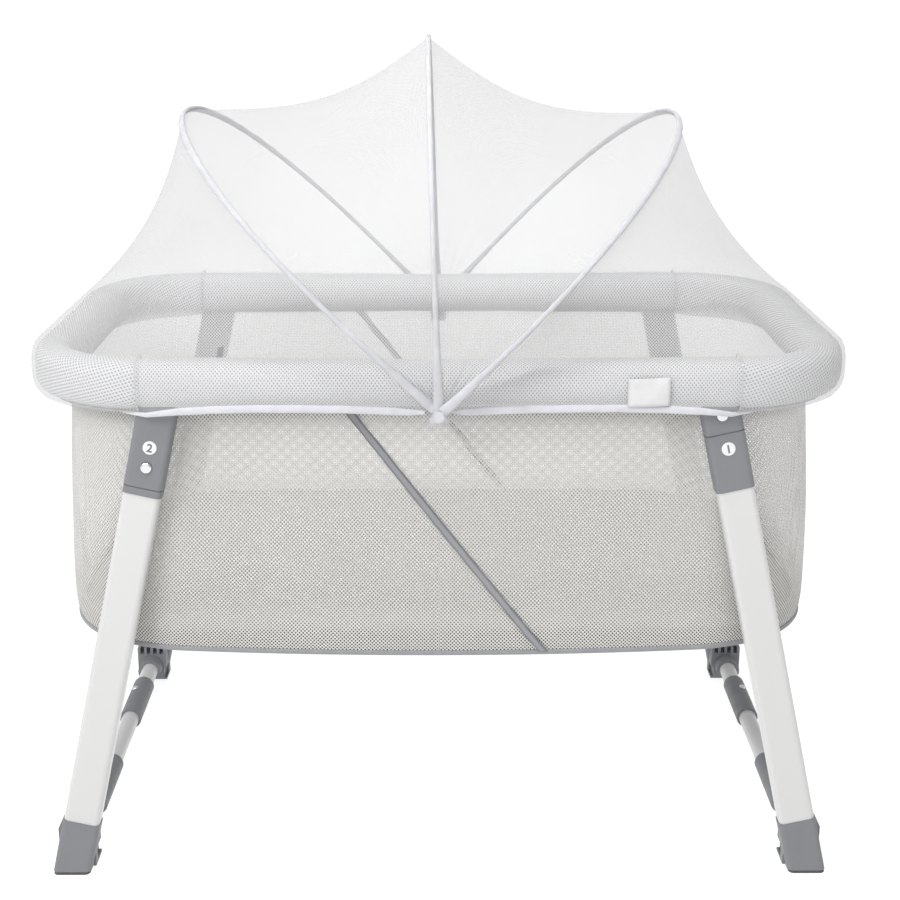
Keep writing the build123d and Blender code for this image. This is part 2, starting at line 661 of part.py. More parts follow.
def make_pivot_caps():
    """The push-on caps that keep the hoops on their pins."""
    start = HUB_Y + 2.5 * HUB_STEP + CAP_GAP
    with BuildPart() as caps:
        for face in (-1, 1):
            with BuildSketch(Plane(origin=(0, face * start, HUB_Z), z_dir=(0, face, 0))):
                Circle(PIN_HEAD_D / 2)
            extrude(amount=CAP_THICK)
            with BuildSketch(Plane(origin=(0, face * start, HUB_Z), z_dir=(0, face, 0))):
                Circle(PIN_D / 2 + CAP_FIT)
            extrude(amount=HUB_Y + 3 * HUB_STEP - start + CAP_BORE_OVER, mode=Mode.SUBTRACT)
    save(caps.part, "pivot_caps")


# ---------------------------------------------------------------- canopy hoops and net
def hoop_point(name, angle, inset=0.0):
    """A point on a hoop, as (along Y, out from the hub), at an angle from the front pivot.

    The rod bulges outwards between its pivots, as a sprung rod does."""
    hub = HUB_Y + HUB_STEP * HOOPS.index(name) - inset
    rise = HOOP_RISE[name] - inset
    swing = math.radians(angle)
    along = -hub * math.cos(swing) * (1 + HOOP_BULGE * math.sin(swing))
    return along, rise * math.sin(swing)


def hoop_plane(name):
    """The hoop's own plane: x along Y, y out from the hub, leaning by the hoop's angle."""
    lean = math.radians(HOOP_LEAN[name])
    out = Vector(math.sin(lean), 0, math.cos(lean))
    return Plane(origin=(0, 0, HUB_Z), x_dir=(0, 1, 0), z_dir=Vector(0, 1, 0).cross(out))


def make_hoop(name):
    """A round rod bent into an arch, with an eye at each end that turns on the pivot pin."""
    plane = hoop_plane(name)
    hub = HUB_Y + HUB_STEP * HOOPS.index(name)
    step = 180.0 / HOOP_TURNS
    arch = [hoop_point(name, step * i) for i in range(1, HOOP_TURNS)]
    points = [(-hub, EYE_START), (-hub, EYE_REACH)] + arch + [(hub, EYE_REACH), (hub, EYE_START)]
    radii = tangent_radii(points)
    with BuildPart() as hoop:
        with BuildLine(plane) as route:
            FilletPolyline(*points, radius=radii)
        foot = Plane(origin=plane.from_local_coords(Vector(*points[0])), z_dir=plane.y_dir)
        with BuildSketch(foot):
            Circle(HOOP_D / 2)
        sweep(path=route.wire())
        for face in (-1, 1):
            eye = Plane(origin=(0, face * hub - EYE_THICK / 2, HUB_Z), z_dir=(0, 1, 0))
            with BuildSketch(eye):
                Circle(EYE_D / 2)
            extrude(amount=EYE_THICK)
            with BuildSketch(eye):
                Circle(PIN_D / 2 + BORE_FIT)
            extrude(amount=EYE_THICK, mode=Mode.SUBTRACT)
    save(hoop.part, f"hoop_{name}")


def tangent_radii(points):
    """The largest fillet at each corner that its two runs allow."""
    radii = []
    for before, corner, after in zip(points, points[1:], points[2:]):
        run_in = math.hypot(corner[0] - before[0], corner[1] - before[1])
        run_out = math.hypot(after[0] - corner[0], after[1] - corner[1])
        heading_in = math.atan2(corner[1] - before[1], corner[0] - before[0])
        heading_out = math.atan2(after[1] - corner[1], after[0] - corner[0])
        turn = abs(math.remainder(heading_out - heading_in, 2 * math.pi))
        radii.append(BEND_SHARE * min(run_in, run_out) / math.tan(turn / 2))
    return radii


def net_outline(name, inset):
    """A thin band just inside a hoop, as a closed polygon in the hoop's plane."""
    steps = NET_POINTS - 1
    angles = [NET_START + (180 - 2 * NET_START) * i / steps for i in range(NET_POINTS)]
    outer = [hoop_point(name, a, inset) for a in angles]
    inner = [hoop_point(name, a, inset + NET_THICK) for a in reversed(angles)]
    return outer + inner


def make_net_gore(first, second, node):
    """The net between two hoops, as a thin ruled shell that lies just inside both rods."""
    with BuildPart() as gore:
        for name in (first, second):
            with BuildSketch(hoop_plane(name)):
                with BuildLine():
                    Polyline(*net_outline(name, NET_INSET), close=True)
                make_face()
        loft(ruled=True)
    save(gore.part, node)


def make_net_end(name, side, node):
    """The net from an end hoop down over the end of the pad, with its hem hanging outside it."""
    with BuildPart() as net:
        with BuildSketch(hoop_plane(name)):
            with BuildLine():
                Polyline(*net_outline(name, NET_INSET), close=True)
            make_face()
        with BuildSketch(Plane.XY.offset(RIM_TOP + NET_CREST)):
            with BuildLine():
                Polyline(*hem_outline(side), close=True)
            make_face()
        loft(ruled=True)
        with BuildSketch(Plane.XY.offset(HEM_Z)):
            with BuildLine():
                Polyline(*hem_outline(side), close=True)
            make_face()
        extrude(amount=RIM_TOP + NET_CREST - HEM_Z)
    save(net.part, node)


def hem_outline(side):
    """A thin band round one end of the pad, with the same count of points as a hoop's band."""
    band = []
    for inset in (0.0, NET_THICK):
        x = RIM_LENGTH / 2 + HEM_GAP - inset
        y = RIM_DEPTH / 2 + HEM_GAP - inset
        r = RIM_CORNER + PAD_WIDTH / 2 + HEM_GAP - inset
        front = [(side * HEM_START, -y)]
        corner_steps = NET_POINTS // 2 - 2
        for i in range(corner_steps + 1):
            swing = math.radians(90 * i / corner_steps)
            front.append((side * (x - r + r * math.sin(swing)), -y + r - r * math.cos(swing)))
        back = [(px, -py) for px, py in reversed(front)]
        band.append(front + back)
    return band[0] + list(reversed(band[1]))


def build_all():
    make_rim_half(-1, "rim_half_left")
    make_rim_half(1, "rim_half_right")
    make_rim_couplers()
    make_rim_foam()
    make_rim_cover()
    make_socket_screws()
    for leg in LEGS:
        make_leg_socket(leg)
        make_leg_sleeve(leg)
        make_leg_tube(leg)
        make_leg_foot(leg)
        make_foot_pad(leg)
        make_leg_button(leg)
        make_stub(leg)
        make_bar_button(leg)
    make_crossbar(-1, "left")
    make_crossbar(1, "right")
    make_basket_mesh()
    make_basket_piping()
    make_seam_tapes()
    make_base_and_mattress()
    make_canopy_pivots()
    make_pivot_caps()
    for name in HOOPS:
        make_hoop(name)
    make_net_gore("left", "mid", "net_gore_left")
    make_net_gore("mid", "right", "net_gore_right")
    make_net_end("left", -1, "net_end_left")
    make_net_end("right", 1, "net_end_right")


build_all()
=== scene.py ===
import json
import math

import bmesh
import bpy
import numpy as np
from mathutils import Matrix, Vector
from mathutils.bvhtree import BVHTree


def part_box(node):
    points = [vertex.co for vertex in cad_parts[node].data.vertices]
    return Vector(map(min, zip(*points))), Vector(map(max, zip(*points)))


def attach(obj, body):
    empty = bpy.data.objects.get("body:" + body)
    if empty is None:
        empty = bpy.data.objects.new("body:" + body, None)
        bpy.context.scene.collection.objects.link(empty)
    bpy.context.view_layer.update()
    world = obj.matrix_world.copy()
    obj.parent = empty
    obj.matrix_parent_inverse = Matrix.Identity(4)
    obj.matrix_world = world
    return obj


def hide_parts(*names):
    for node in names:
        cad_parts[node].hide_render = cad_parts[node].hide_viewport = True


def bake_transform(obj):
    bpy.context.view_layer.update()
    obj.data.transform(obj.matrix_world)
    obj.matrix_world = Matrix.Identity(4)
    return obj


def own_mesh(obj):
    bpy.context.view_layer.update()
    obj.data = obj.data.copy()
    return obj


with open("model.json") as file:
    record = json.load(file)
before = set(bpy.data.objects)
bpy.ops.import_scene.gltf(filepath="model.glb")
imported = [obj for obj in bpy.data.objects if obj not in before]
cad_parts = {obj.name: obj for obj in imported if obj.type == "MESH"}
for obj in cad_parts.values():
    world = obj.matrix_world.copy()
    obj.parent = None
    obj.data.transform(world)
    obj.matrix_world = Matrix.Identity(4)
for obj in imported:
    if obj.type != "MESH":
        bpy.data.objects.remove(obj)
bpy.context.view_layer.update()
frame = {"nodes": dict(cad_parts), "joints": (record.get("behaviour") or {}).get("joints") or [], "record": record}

# Everything is in metres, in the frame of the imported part: +X along the basket, -Y the front, +Z up.
MM = 0.001


# ---------------------------------------------------------------- places read from the frame
def middle(node):
    low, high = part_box(node)
    return (low + high) / 2


pad_low, pad_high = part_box("rim_cover")
tube_low, tube_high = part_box("rim_half_right")
TUBE_RADIUS = (tube_high.z - tube_low.z) / 2
RIM_X = tube_high.x - TUBE_RADIUS
RIM_Y = tube_high.y - TUBE_RADIUS
RIM_CORNER = 112 * MM
PAD_POWER = 3.2
PAD_GIRTH = 2 * math.pi * 27 * MM
PAD_MID_Z = (tube_low.z + tube_high.z) / 2
PAD_HALF_WIDTH = pad_high.x - RIM_X
PAD_HALF_HEIGHT = (pad_high.z - pad_low.z) / 2
PAD_BOTTOM = pad_low.z
SEAM_X = 315 * MM
LEG_TOP_X = 290 * MM

tub_low, tub_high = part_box("basket_mesh")
TUB_LOW = (tub_high.x, tub_high.y)
TUB_TOP = (TUB_LOW[0] - 18 * MM, TUB_LOW[1] - 8 * MM)
TUB_LOW_ROUND = 145 * MM
TUB_TOP_ROUND = 112 * MM
TUB_INSIDE_PAD = 24 * MM
TUB_RISE = tub_high.z + TUB_INSIDE_PAD - tub_low.z
TUB_SAG_X = 324 * MM
TUB_WAVE = (90 * MM, 1.6 * MM)
MATTRESS_TOP = 298 * MM
TAPE_WIDTH = 10.5 * MM

HUB_Z = middle("pivot_caps").z
HOOP_BULGE = 0.45
HOOP_NAMES = ("left", "mid", "right")
swing = np.linspace(0, math.pi / 2, 400)
WIDEST = float(np.max(np.cos(swing) * (1 + HOOP_BULGE * np.sin(swing))))


def hoop_shape(name):
    """(half span at the hub, rise, lean from upright) of a hoop, from its highest points."""
    low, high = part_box("hoop_" + name)
    rod = 2 * MM
    top = [v.co.x for v in frame["nodes"]["hoop_" + name].data.vertices if v.co.z > high.z - rod]
    across = {"left": low.x + rod, "mid": (min(top) + max(top)) / 2, "right": high.x - rod}[name]
    up = high.z - rod - HUB_Z
    return (high.y - rod) / WIDEST, math.hypot(across, up), math.atan2(across, up)


HOOPS = {name: hoop_shape(name) for name in HOOP_NAMES}


def hoop_points(name, angles, inset=0.0):
    """Points on a hoop at angles from the front pivot, moved towards the hub by an inset."""
    hub, rise, lean = HOOPS[name]
    along = -(hub - inset) * np.cos(angles) * (1 + HOOP_BULGE * np.sin(angles))
    out = (rise - inset) * np.sin(angles)
    return np.stack([out * math.sin(lean), along, HUB_Z + out * math.cos(lean)], axis=1)


# ---------------------------------------------------------------- mesh helpers
def new_object(name, vertices, faces, uv=None, smooth=True):
    """A mesh object; uv holds one (u, v) in metres for each corner of each face."""
    mesh = bpy.data.meshes.new(name)
    mesh.from_pydata([tuple(v) for v in vertices], [], [tuple(f) for f in faces])
    mesh.update()
    if smooth:
        mesh.polygons.foreach_set("use_smooth", [True] * len(mesh.polygons))
    if uv is not None:
        layer = mesh.uv_layers.new(name="weave")
        layer.data.foreach_set("uv", np.asarray(uv, np.float32).ravel())
    thing = bpy.data.objects.new(name, mesh)
    bpy.context.scene.collection.objects.link(thing)
    return thing


def lengths(points, closed):
    """Distance along a line of points, with one more entry where it closes."""
    line = np.vstack([points, points[:1]]) if closed else points
    steps = np.linalg.norm(np.diff(line, axis=0), axis=1)
    return np.concatenate([[0.0], np.cumsum(steps)])


def grid_object(name, points, closed_u=False, closed_v=False, flip=False, caps=False):
    """A surface through a grid of points, (across u, across v, 3), with its weave in metres."""
    nu, nv = points.shape[:2]
    u_at = lengths(points[:, nv // 2], closed_u)
    v_at = lengths(points[nu // 2], closed_v)
    faces, uv = [], []
    for i in range(nu if closed_u else nu - 1):
        for j in range(nv if closed_v else nv - 1):
            corners = [(i, j), (i + 1, j), (i + 1, j + 1), (i, j + 1)]
            if flip:
                corners.reverse()
            faces.append([(a % nu) * nv + b % nv for a, b in corners])
            uv += [(u_at[a], v_at[b]) for a, b in corners]
    if caps:
        for i in (0, nu - 1):
            ring = [i * nv + j for j in range(nv)]
            if (i == 0) != flip:
                ring.reverse()
            faces.append(ring)
            uv += [(0.0, 0.0)] * nv
    return new_object(name, points.reshape(-1, 3), faces, uv)


def tangents(points, closed):
    if closed:
        steps = np.roll(points, -1, axis=0) - np.roll(points, 1, axis=0)
    else:
        steps = np.gradient(points, axis=0)
    return steps / np.linalg.norm(steps, axis=1)[:, None]


def sweep(name, path, wide, thick, side, sides=12, closed=False):
    """An oval band along a path; wide and thick are half sizes, side is the wide direction."""
    path = np.asarray(path, float)
    along = tangents(path, closed)
    side = np.broadcast_to(np.asarray(side, float), path.shape)
    side = side - (side * along).sum(1)[:, None] * along
    side = side / np.linalg.norm(side, axis=1)[:, None]
    face = np.cross(along, side)
    wide = np.broadcast_to(wide, len(path))
    thick = np.broadcast_to(thick, len(path))
    turn = np.linspace(0, 2 * math.pi, sides, endpoint=False)
    ring = path[:, None] + (
        side[:, None] * (wide[:, None] * np.cos(turn))[:, :, None]
        + face[:, None] * (thick[:, None] * np.sin(turn))[:, :, None]
    )
    return grid_object(name, ring, closed_u=closed, closed_v=True, flip=True, caps=not closed)


def ripple(points, size, height):
    """A smooth uneven offset, the same on each run, for points about a size apart."""
    x, y, z = (points[..., k] / size for k in range(3))
    wave = np.sin(x * 1.7 + 0.8 * np.sin(y * 1.3 + 0.4)) + np.sin(y * 2.1 + z * 1.1 + 1.7)
    wave = wave + 0.6 * np.sin(z * 2.9 - x * 1.2 + 0.5 * np.sin(x * 3.1))
    return wave * height / 2.6


def points_of(thing):
    co = np.empty(len(thing.data.vertices) * 3)
    thing.data.vertices.foreach_get("co", co)
    return co.reshape(-1, 3)


def set_points(thing, co):
    thing.data.vertices.foreach_set("co", np.asarray(co, float).ravel())
    thing.data.update()


# ---------------------------------------------------------------- the rim's route
def rounded_route(half_x, half_y, corner, count):
    """Points and outward directions round a rounded rectangle, from the middle of the front."""
    a, b = half_x - corner, half_y - corner
    quarter = corner * math.pi / 2
    runs = [a, quarter, 2 * b, quarter, 2 * a, quarter, 2 * b, quarter, a]
    total = sum(runs)
    places, outs = [], []
    for s in np.arange(count) * total / count:
        k = 0
        while s > runs[k]:
            s -= runs[k]
            k += 1
        turn = -math.pi / 2 + (k // 2) * math.pi / 2
        if k % 2:
            turn += s / corner
            core = [(a, -b), (a, b), (-a, b), (-a, -b)][k // 2]
        else:
            core = [(s, -b), (a, s - b), (a - s, b), (-a, b - s), (s - a, -b)][k // 2]
        out = (math.cos(turn), math.sin(turn))
        places.append((core[0] + out[0] * corner, core[1] + out[1] * corner))
        outs.append(out)
    return np.array(places), np.array(outs)


def rim_place(co):
    """(distance round the rim, distance out from its centre line) of points."""
    a, b, r = RIM_X - RIM_CORNER, RIM_Y - RIM_CORNER, RIM_CORNER
    cx, cy = np.clip(co[:, 0], -a, a), np.clip(co[:, 1], -b, b)
    dx, dy = co[:, 0] - cx, co[:, 1] - cy
    turn = np.arctan2(dy, dx)
    quarter = r * math.pi / 2
    s = np.where(
        turn < -1e-9 - math.pi / 2,
        -a - r * (-math.pi / 2 - turn),
        np.where(turn < math.pi / 2 - 1e-9, a + r * (turn + math.pi / 2), 0),
    )
    s = np.where(np.abs(dx) < 1e-9, np.where(dy < 0, cx, 2 * quarter + 2 * a + 2 * b - cx), s)
    s = np.where(
        (turn >= -1e-9) & (turn < math.pi / 2 - 1e-9) & (np.abs(dx) > 1e-9),
        a + quarter + (cy + b) + r * turn,
        s,
    )
    past = (turn > math.pi / 2 + 1e-9) & (np.abs(dx) > 1e-9)
    s = np.where(past, 3 * a + 2 * b + 2 * quarter + r * (turn - math.pi / 2), s)
    left = (np.abs(dy) < 1e-9) & (dx < 0)
    s = np.where(left, 3 * a + 3 * quarter + 2 * b + (b - cy), s)
    return s, np.hypot(dx, dy) - r


# ---------------------------------------------------------------- cloth
def inflate(thing, voxel, pressure, cap, pins=None, frames=20):
    """Fills a closed fabric form with air pressure, so that it swells between its pins."""
    bpy.context.view_layer.objects.active = thing
    thing.select_set(True)
    remesh = thing.modifiers.new("remesh", "REMESH")
    remesh.mode = "VOXEL"
    remesh.voxel_size = voxel
    bpy.ops.object.modifier_apply(modifier=remesh.name)
    before = points_of(thing)
    cloth = thing.modifiers.new("cloth", "CLOTH")
    cloth.settings.quality = 4
    cloth.settings.use_pressure = True
    cloth.settings.uniform_pressure_force = pressure
    cloth.settings.effector_weights.gravity = 0
    cloth.settings.tension_stiffness = 25
    cloth.settings.compression_stiffness = 25
    cloth.settings.bending_stiffness = 2
    cloth.point_cache.frame_start = 1
    cloth.point_cache.frame_end = frames
    if pins is not None:
        group = thing.vertex_groups.new(name="pins")
        held = np.nonzero(pins(before))[0]
        group.add([int(i) for i in held], 1.0, "REPLACE")
        cloth.settings.vertex_group_mass = "pins"
    for at in range(1, frames + 1):
        bpy.context.scene.frame_set(at)
    evaluated = thing.evaluated_get(bpy.context.evaluated_depsgraph_get())
    after = np.array([v.co for v in evaluated.data.vertices], float)
    thing.modifiers.remove(cloth)
    bpy.context.scene.frame_set(1)
    moved = after - before
    far = np.linalg.norm(moved, axis=1)[:, None]
    set_points(thing, before + moved * np.minimum(1.0, cap / np.maximum(far, 1e-9)))
    smooth = thing.modifiers.new("smooth", "CORRECTIVE_SMOOTH")
    smooth.use_only_smooth = True
    smooth.iterations = 4
    bpy.ops.object.modifier_apply(modifier=smooth.name)
    refine = thing.modifiers.new("refine", "SUBSURF")
    refine.levels = 1
    refine.render_levels = 1
    bpy.ops.object.modifier_apply(modifier=refine.name)
    thing.data.polygons.foreach_set("use_smooth", [True] * len(thing.data.polygons))
    thing.select_set(False)


def weave_from(thing, coordinates, wrap):
    """Gives a mesh its weave from a function of its points; wrap is the length of a closed run."""
    co = points_of(thing)
    u, v = coordinates(co)
    mesh = thing.data
    vertex = np.empty(len(mesh.loops), int)
    mesh.loops.foreach_get("vertex_index", vertex)
    start = np.empty(len(mesh.polygons), int)
    total = np.empty(len(mesh.polygons), int)
    mesh.polygons.foreach_get("loop_start", start)
    mesh.polygons.foreach_get("loop_total", total)
    first = np.repeat(vertex[start], total)
    uv = np.stack([u[vertex], v[vertex]], axis=1)
    for axis, (value, period) in enumerate(zip((u, v), wrap)):
        if period:
            gap = uv[:, axis] - value[first]
            uv[:, axis] -= np.round(gap / period) * period
    layer = mesh.uv_layers.get("weave") or mesh.uv_layers.new(name="weave")
    layer.data.foreach_set("uv", uv.astype(np.float32).ravel())


# ---------------------------------------------------------------- materials
RAMP_ENDS = ("From Min", "From Max", "To Min", "To Max")


class Finish:
    """A node material round one Principled shader."""

    def __init__(self, name, colour, roughness, **fixed):
        self.material = bpy.data.materials.new(name)
        self.material.use_nodes = True
        self.tree = self.material.node_tree
        self.shader = self.tree.nodes["Principled BSDF"]
        self.shader.inputs["Base Color"].default_value = (*colour, 1)
        self.shader.inputs["Roughness"].default_value = roughness
        for socket, value in fixed.items():
            self.shader.inputs[socket.replace("_", " ")].default_value = value

    def node(self, kind, settings=None, **inputs):
        made = self.tree.nodes.new(kind)
        for key, value in (settings or {}).items():
            setattr(made, key, value)
        for socket, value in inputs.items():
            key = socket.replace("_", " ")
            target = made.inputs[int(key[1:]) if key[0] == "i" and key[1:].isdigit() else key]
            if isinstance(value, bpy.types.NodeSocket):
                self.tree.links.new(value, target)
            else:
                target.default_value = value
        return made

    def math(self, operation, first, second=0.0, third=0.0):
        made = self.node("ShaderNodeMath", {"operation": operation}, i0=first, i1=second, i2=third)
        return made.outputs[0]

    def ramp(self, value, low, high, to_low=0.0, to_high=1.0):
        made = self.node("ShaderNodeMapRange", {"interpolation_type": "SMOOTHSTEP"}, Value=value)
        for socket, number in zip(RAMP_ENDS, (low, high, to_low, to_high)):
            made.inputs[socket].default_value = number
        return made.outputs[0]

    def mix(self, share, first, second):
        made = self.tree.nodes.new("ShaderNodeMix")
        made.data_type = "RGBA"
        for socket, value in zip((0, 6, 7), (share, first, second)):
            if isinstance(value, bpy.types.NodeSocket):
                self.tree.links.new(value, made.inputs[socket])
            elif socket == 0:
                made.inputs[socket].default_value = value
            else:
                made.inputs[socket].default_value = (*value, 1)
        return made.outputs[2]

    def place(self):
        return self.node("ShaderNodeTexCoord").outputs["Object"]

    def height(self):
        split = self.node("ShaderNodeSeparateXYZ", Vector=self.place())
        return split.outputs[2]

    def noise(self, scale, detail=3.0, place=None, roughness=0.55):
        made = self.node("ShaderNodeTexNoise", Vector=place or self.place(), Scale=scale)
        made.inputs["Detail"].default_value = detail
        made.inputs["Roughness"].default_value = roughness
        return made.outputs[0]

    def lattice(self, across, along):
        """Staggered holes on the weave: 1 in the middle of a hole, -1 where threads meet."""
        weave = self.node("ShaderNodeUVMap", {"uv_map": "weave"}).outputs[0]
        split = self.node("ShaderNodeSeparateXYZ", Vector=weave)
        u = self.math("COSINE", self.math("MULTIPLY", split.outputs[0], 2 * math.pi / across))
        v = self.math("COSINE", self.math("MULTIPLY", split.outputs[1], 2 * math.pi / along))
        return self.math("MULTIPLY", u, v)

    def colour(self, socket):
        self.tree.links.new(socket, self.shader.inputs["Base Color"])

    def roughness(self, socket):
        self.tree.links.new(socket, self.shader.inputs["Roughness"])

    def alpha(self, socket):
        self.tree.links.new(socket, self.shader.inputs["Alpha"])

    def bump(self, height, depth, strength=1.0):
        made = self.node("ShaderNodeBump", Height=height, Distance=depth, Strength=strength)
        self.tree.links.new(made.outputs[0], self.shader.inputs["Normal"])


def shade(colour, factor, lift=0.0):
    return tuple(min(1, c * factor + lift) for c in colour)


# Painted shade for the tub's mesh: near-black for its holes in the shaded bands, and grey for the holes seen on
# its inner face, whose threads are the cloth's paler lining.
DEEP_HOLE_SHADE = (0.012, 0.011, 0.010)
INNER_THREAD = (0.84, 0.84, 0.835)
INNER_HOLE_SHADE = (0.46, 0.455, 0.44)


def spacer_mesh(name, thread, hole, across, along, open_share, painted_shade_bands=None, gap=(0.05, 0.75)):
    """Knitted spacer mesh: staggered holes between thick threads, see-through by open_share.

    The colour in its holes is painted shade. Given two ranges of height, it is the tub's cloth:
    closed, with near-black painted shade outside near its bottom edge and just under the pad at its
    top, more open above the mattress with darker painted shade in its holes there, and paler on its
    inner face, where its holes get a lighter painted shade.
    """
    finish = Finish(name, thread, 0.85, Sheen_Weight=0.25, Sheen_Roughness=0.5,
                    Specular_IOR_Level=0.25)
    holes = finish.lattice(across, along)
    inside = finish.ramp(holes, *gap)
    drift = finish.noise(9.0)
    pale = finish.mix(drift, shade(thread, 0.95), shade(thread, 1.03))
    # The hole colour is painted shade, the dark inside the knit.
    depth = hole
    seen = open_share
    if painted_shade_bands is not None:
        inner = finish.node("ShaderNodeNewGeometry").outputs["Backfacing"]
        pale = finish.mix(inner, pale, INNER_THREAD)
        height = finish.height()
        above = finish.ramp(height, MATTRESS_TOP - 10 * MM, MATTRESS_TOP + 25 * MM)
        seen = finish.math("MULTIPLY_ADD", above, 0.4 * open_share, 0.6 * open_share)
        # Above the mattress the holes get a darker painted shade, for the shaded inside of the tub behind them.
        hole = finish.mix(above, hole, shade(hole, 0.4))
        # Painted shade bands on the outer face: near-black holes near the bottom edge and just under the pad,
        # fading towards the middle of the wall.
        low = finish.ramp(height, *painted_shade_bands[0], 1.0, 0.0)
        high = finish.ramp(height, *painted_shade_bands[1], 0.0, 0.75)
        outer_painted_shade = finish.math("MAXIMUM", low, high)
        band = finish.math("MULTIPLY", outer_painted_shade, finish.math("SUBTRACT", 1.0, inner))
        # On the inner face the holes get a lighter painted shade.
        hole = finish.mix(inner, hole, INNER_HOLE_SHADE)
        # In the bands the holes take the near-black painted shade and close up.
        depth = finish.mix(band, hole, DEEP_HOLE_SHADE)
        seen = finish.math("MULTIPLY", seen, finish.math("SUBTRACT", 1.0, band))
    finish.colour(finish.mix(inside, pale, depth))
    cover = finish.math("MULTIPLY", inside, seen)
    finish.alpha(finish.math("SUBTRACT", 1.0, cover))
    yarn = finish.noise(900.0, 2.0)
    relief = finish.math("MULTIPLY_ADD", yarn, 0.35, finish.math("MULTIPLY", holes, -1.0))
    finish.bump(relief, 0.5 * MM, 0.8)
    return finish.material


def sheer_net(name):
    """Fine white net: hexagonal holes with hardly any thread between."""
    finish = Finish(name, (0.6, 0.6, 0.61), 0.7, Sheen_Weight=0.1, Specular_IOR_Level=0.2)
    holes = finish.lattice(1.7 * MM, 2.0 * MM)
    drift = finish.noise(6.0, 2.0)
    thread = finish.ramp(holes, 0.25, -0.55, 0.25, 0.35)
    cover = finish.math("MULTIPLY_ADD", drift, 0.10, thread)
    finish.alpha(cover)
    finish.colour(finish.mix(drift, (0.56, 0.56, 0.568), (0.62, 0.62, 0.626)))
    finish.bump(holes, 0.15 * MM, 0.4)
    return finish.material


def woven_tape(name, colour, across, along, roughness=0.8, width=None):
    """Ribbed narrow cloth; with a width, it is paler in its middle than at its edges."""
    finish = Finish(name, colour, roughness, Sheen_Weight=0.3, Specular_IOR_Level=0.25)
    ribs = finish.lattice(across, along)
    drift = finish.noise(60.0)
    uneven = finish.math("MULTIPLY_ADD", ribs, 0.35, drift)
    cloth = finish.mix(uneven, shade(colour, 0.82), shade(colour, 1.12))
    if width is not None:
        weave = finish.node("ShaderNodeUVMap", {"uv_map": "weave"}).outputs[0]
        lane = finish.node("ShaderNodeSeparateXYZ", Vector=weave).outputs[1]
        from_middle = finish.math("ABSOLUTE", finish.math("SUBTRACT", lane, width / 2))
        # Paler middle and darker edges, set by the distance across the tape.
        sewn = finish.ramp(from_middle, 0.22 * width, 0.34 * width)
        cloth = finish.mix(sewn, shade(colour, 1.5), cloth)
    finish.colour(cloth)
    finish.bump(finish.math("MULTIPLY_ADD", drift, 0.5, ribs), 0.25 * MM, 0.7)
    return finish.material


def quilted(name, colour):
    finish = Finish(name, colour, 0.8, Sheen_Weight=0.3, Specular_IOR_Level=0.25)
    weave = finish.noise(1400.0, 2.0)
    drift = finish.noise(14.0)
    finish.colour(finish.mix(drift, shade(colour, 0.93), colour))
    finish.bump(weave, 0.2 * MM, 0.5)
    return finish.material


def moulded(name, colour, roughness):
    """Moulded plastic with fine spark-eroded grain and slightly rubbed high spots."""
    finish = Finish(name, colour, roughness, Specular_IOR_Level=0.4)
    grain = finish.noise(2600.0, 2.0)
    drift = finish.noise(28.0)
    worn = shade(colour, 1.1, 0.01)
    finish.colour(finish.mix(finish.math("MULTIPLY", drift, 0.7), colour, worn))
    finish.roughness(finish.ramp(finish.noise(70.0), 0.3, 0.7, roughness - 0.06, roughness + 0.1))
    finish.bump(grain, 0.08 * MM, 0.5)
    return finish.material


def powder_coat(name, colour):
    """Smooth powder coat: faint orange peel under a soft gloss."""
    finish = Finish(name, colour, 0.32, Coat_Weight=0.25, Coat_Roughness=0.2, Specular_IOR_Level=0.5)
    peel = finish.noise(420.0, 1.5)
    drift = finish.noise(7.0)
    finish.colour(finish.mix(drift, shade(colour, 0.975), colour))
    finish.roughness(finish.ramp(finish.noise(35.0), 0.3, 0.7, 0.28, 0.4))
    finish.bump(peel, 0.06 * MM, 0.35)
    return finish.material


def polished(name, colour, roughness):
    finish = Finish(name, colour, roughness, Metallic=1.0)
    marks = finish.noise(600.0, 4.0)
    finish.roughness(finish.ramp(marks, 0.35, 0.7, roughness, roughness + 0.14))
    finish.bump(marks, 0.02 * MM, 0.3)
    return finish.material


def rubber(name, colour):
    finish = Finish(name, colour, 0.85, Specular_IOR_Level=0.3)
    scuff = finish.noise(300.0, 5.0)
    finish.colour(finish.mix(scuff, colour, shade(colour, 1.8, 0.02)))
    finish.bump(scuff, 0.2 * MM, 0.6)
    return finish.material


def hardboard(name, colour):
    finish = Finish(name, colour, 0.75, Specular_IOR_Level=0.2)
    stretched = finish.node("ShaderNodeMapping", Vector=finish.place())
    stretched.inputs["Scale"].default_value = (0.25, 1.0, 1.0)
    fibres = finish.noise(180.0, 6.0, stretched.outputs[0])
    finish.colour(finish.mix(fibres, shade(colour, 0.7), shade(colour, 1.15)))
    finish.bump(fibres, 0.15 * MM, 0.5)
    return finish.material


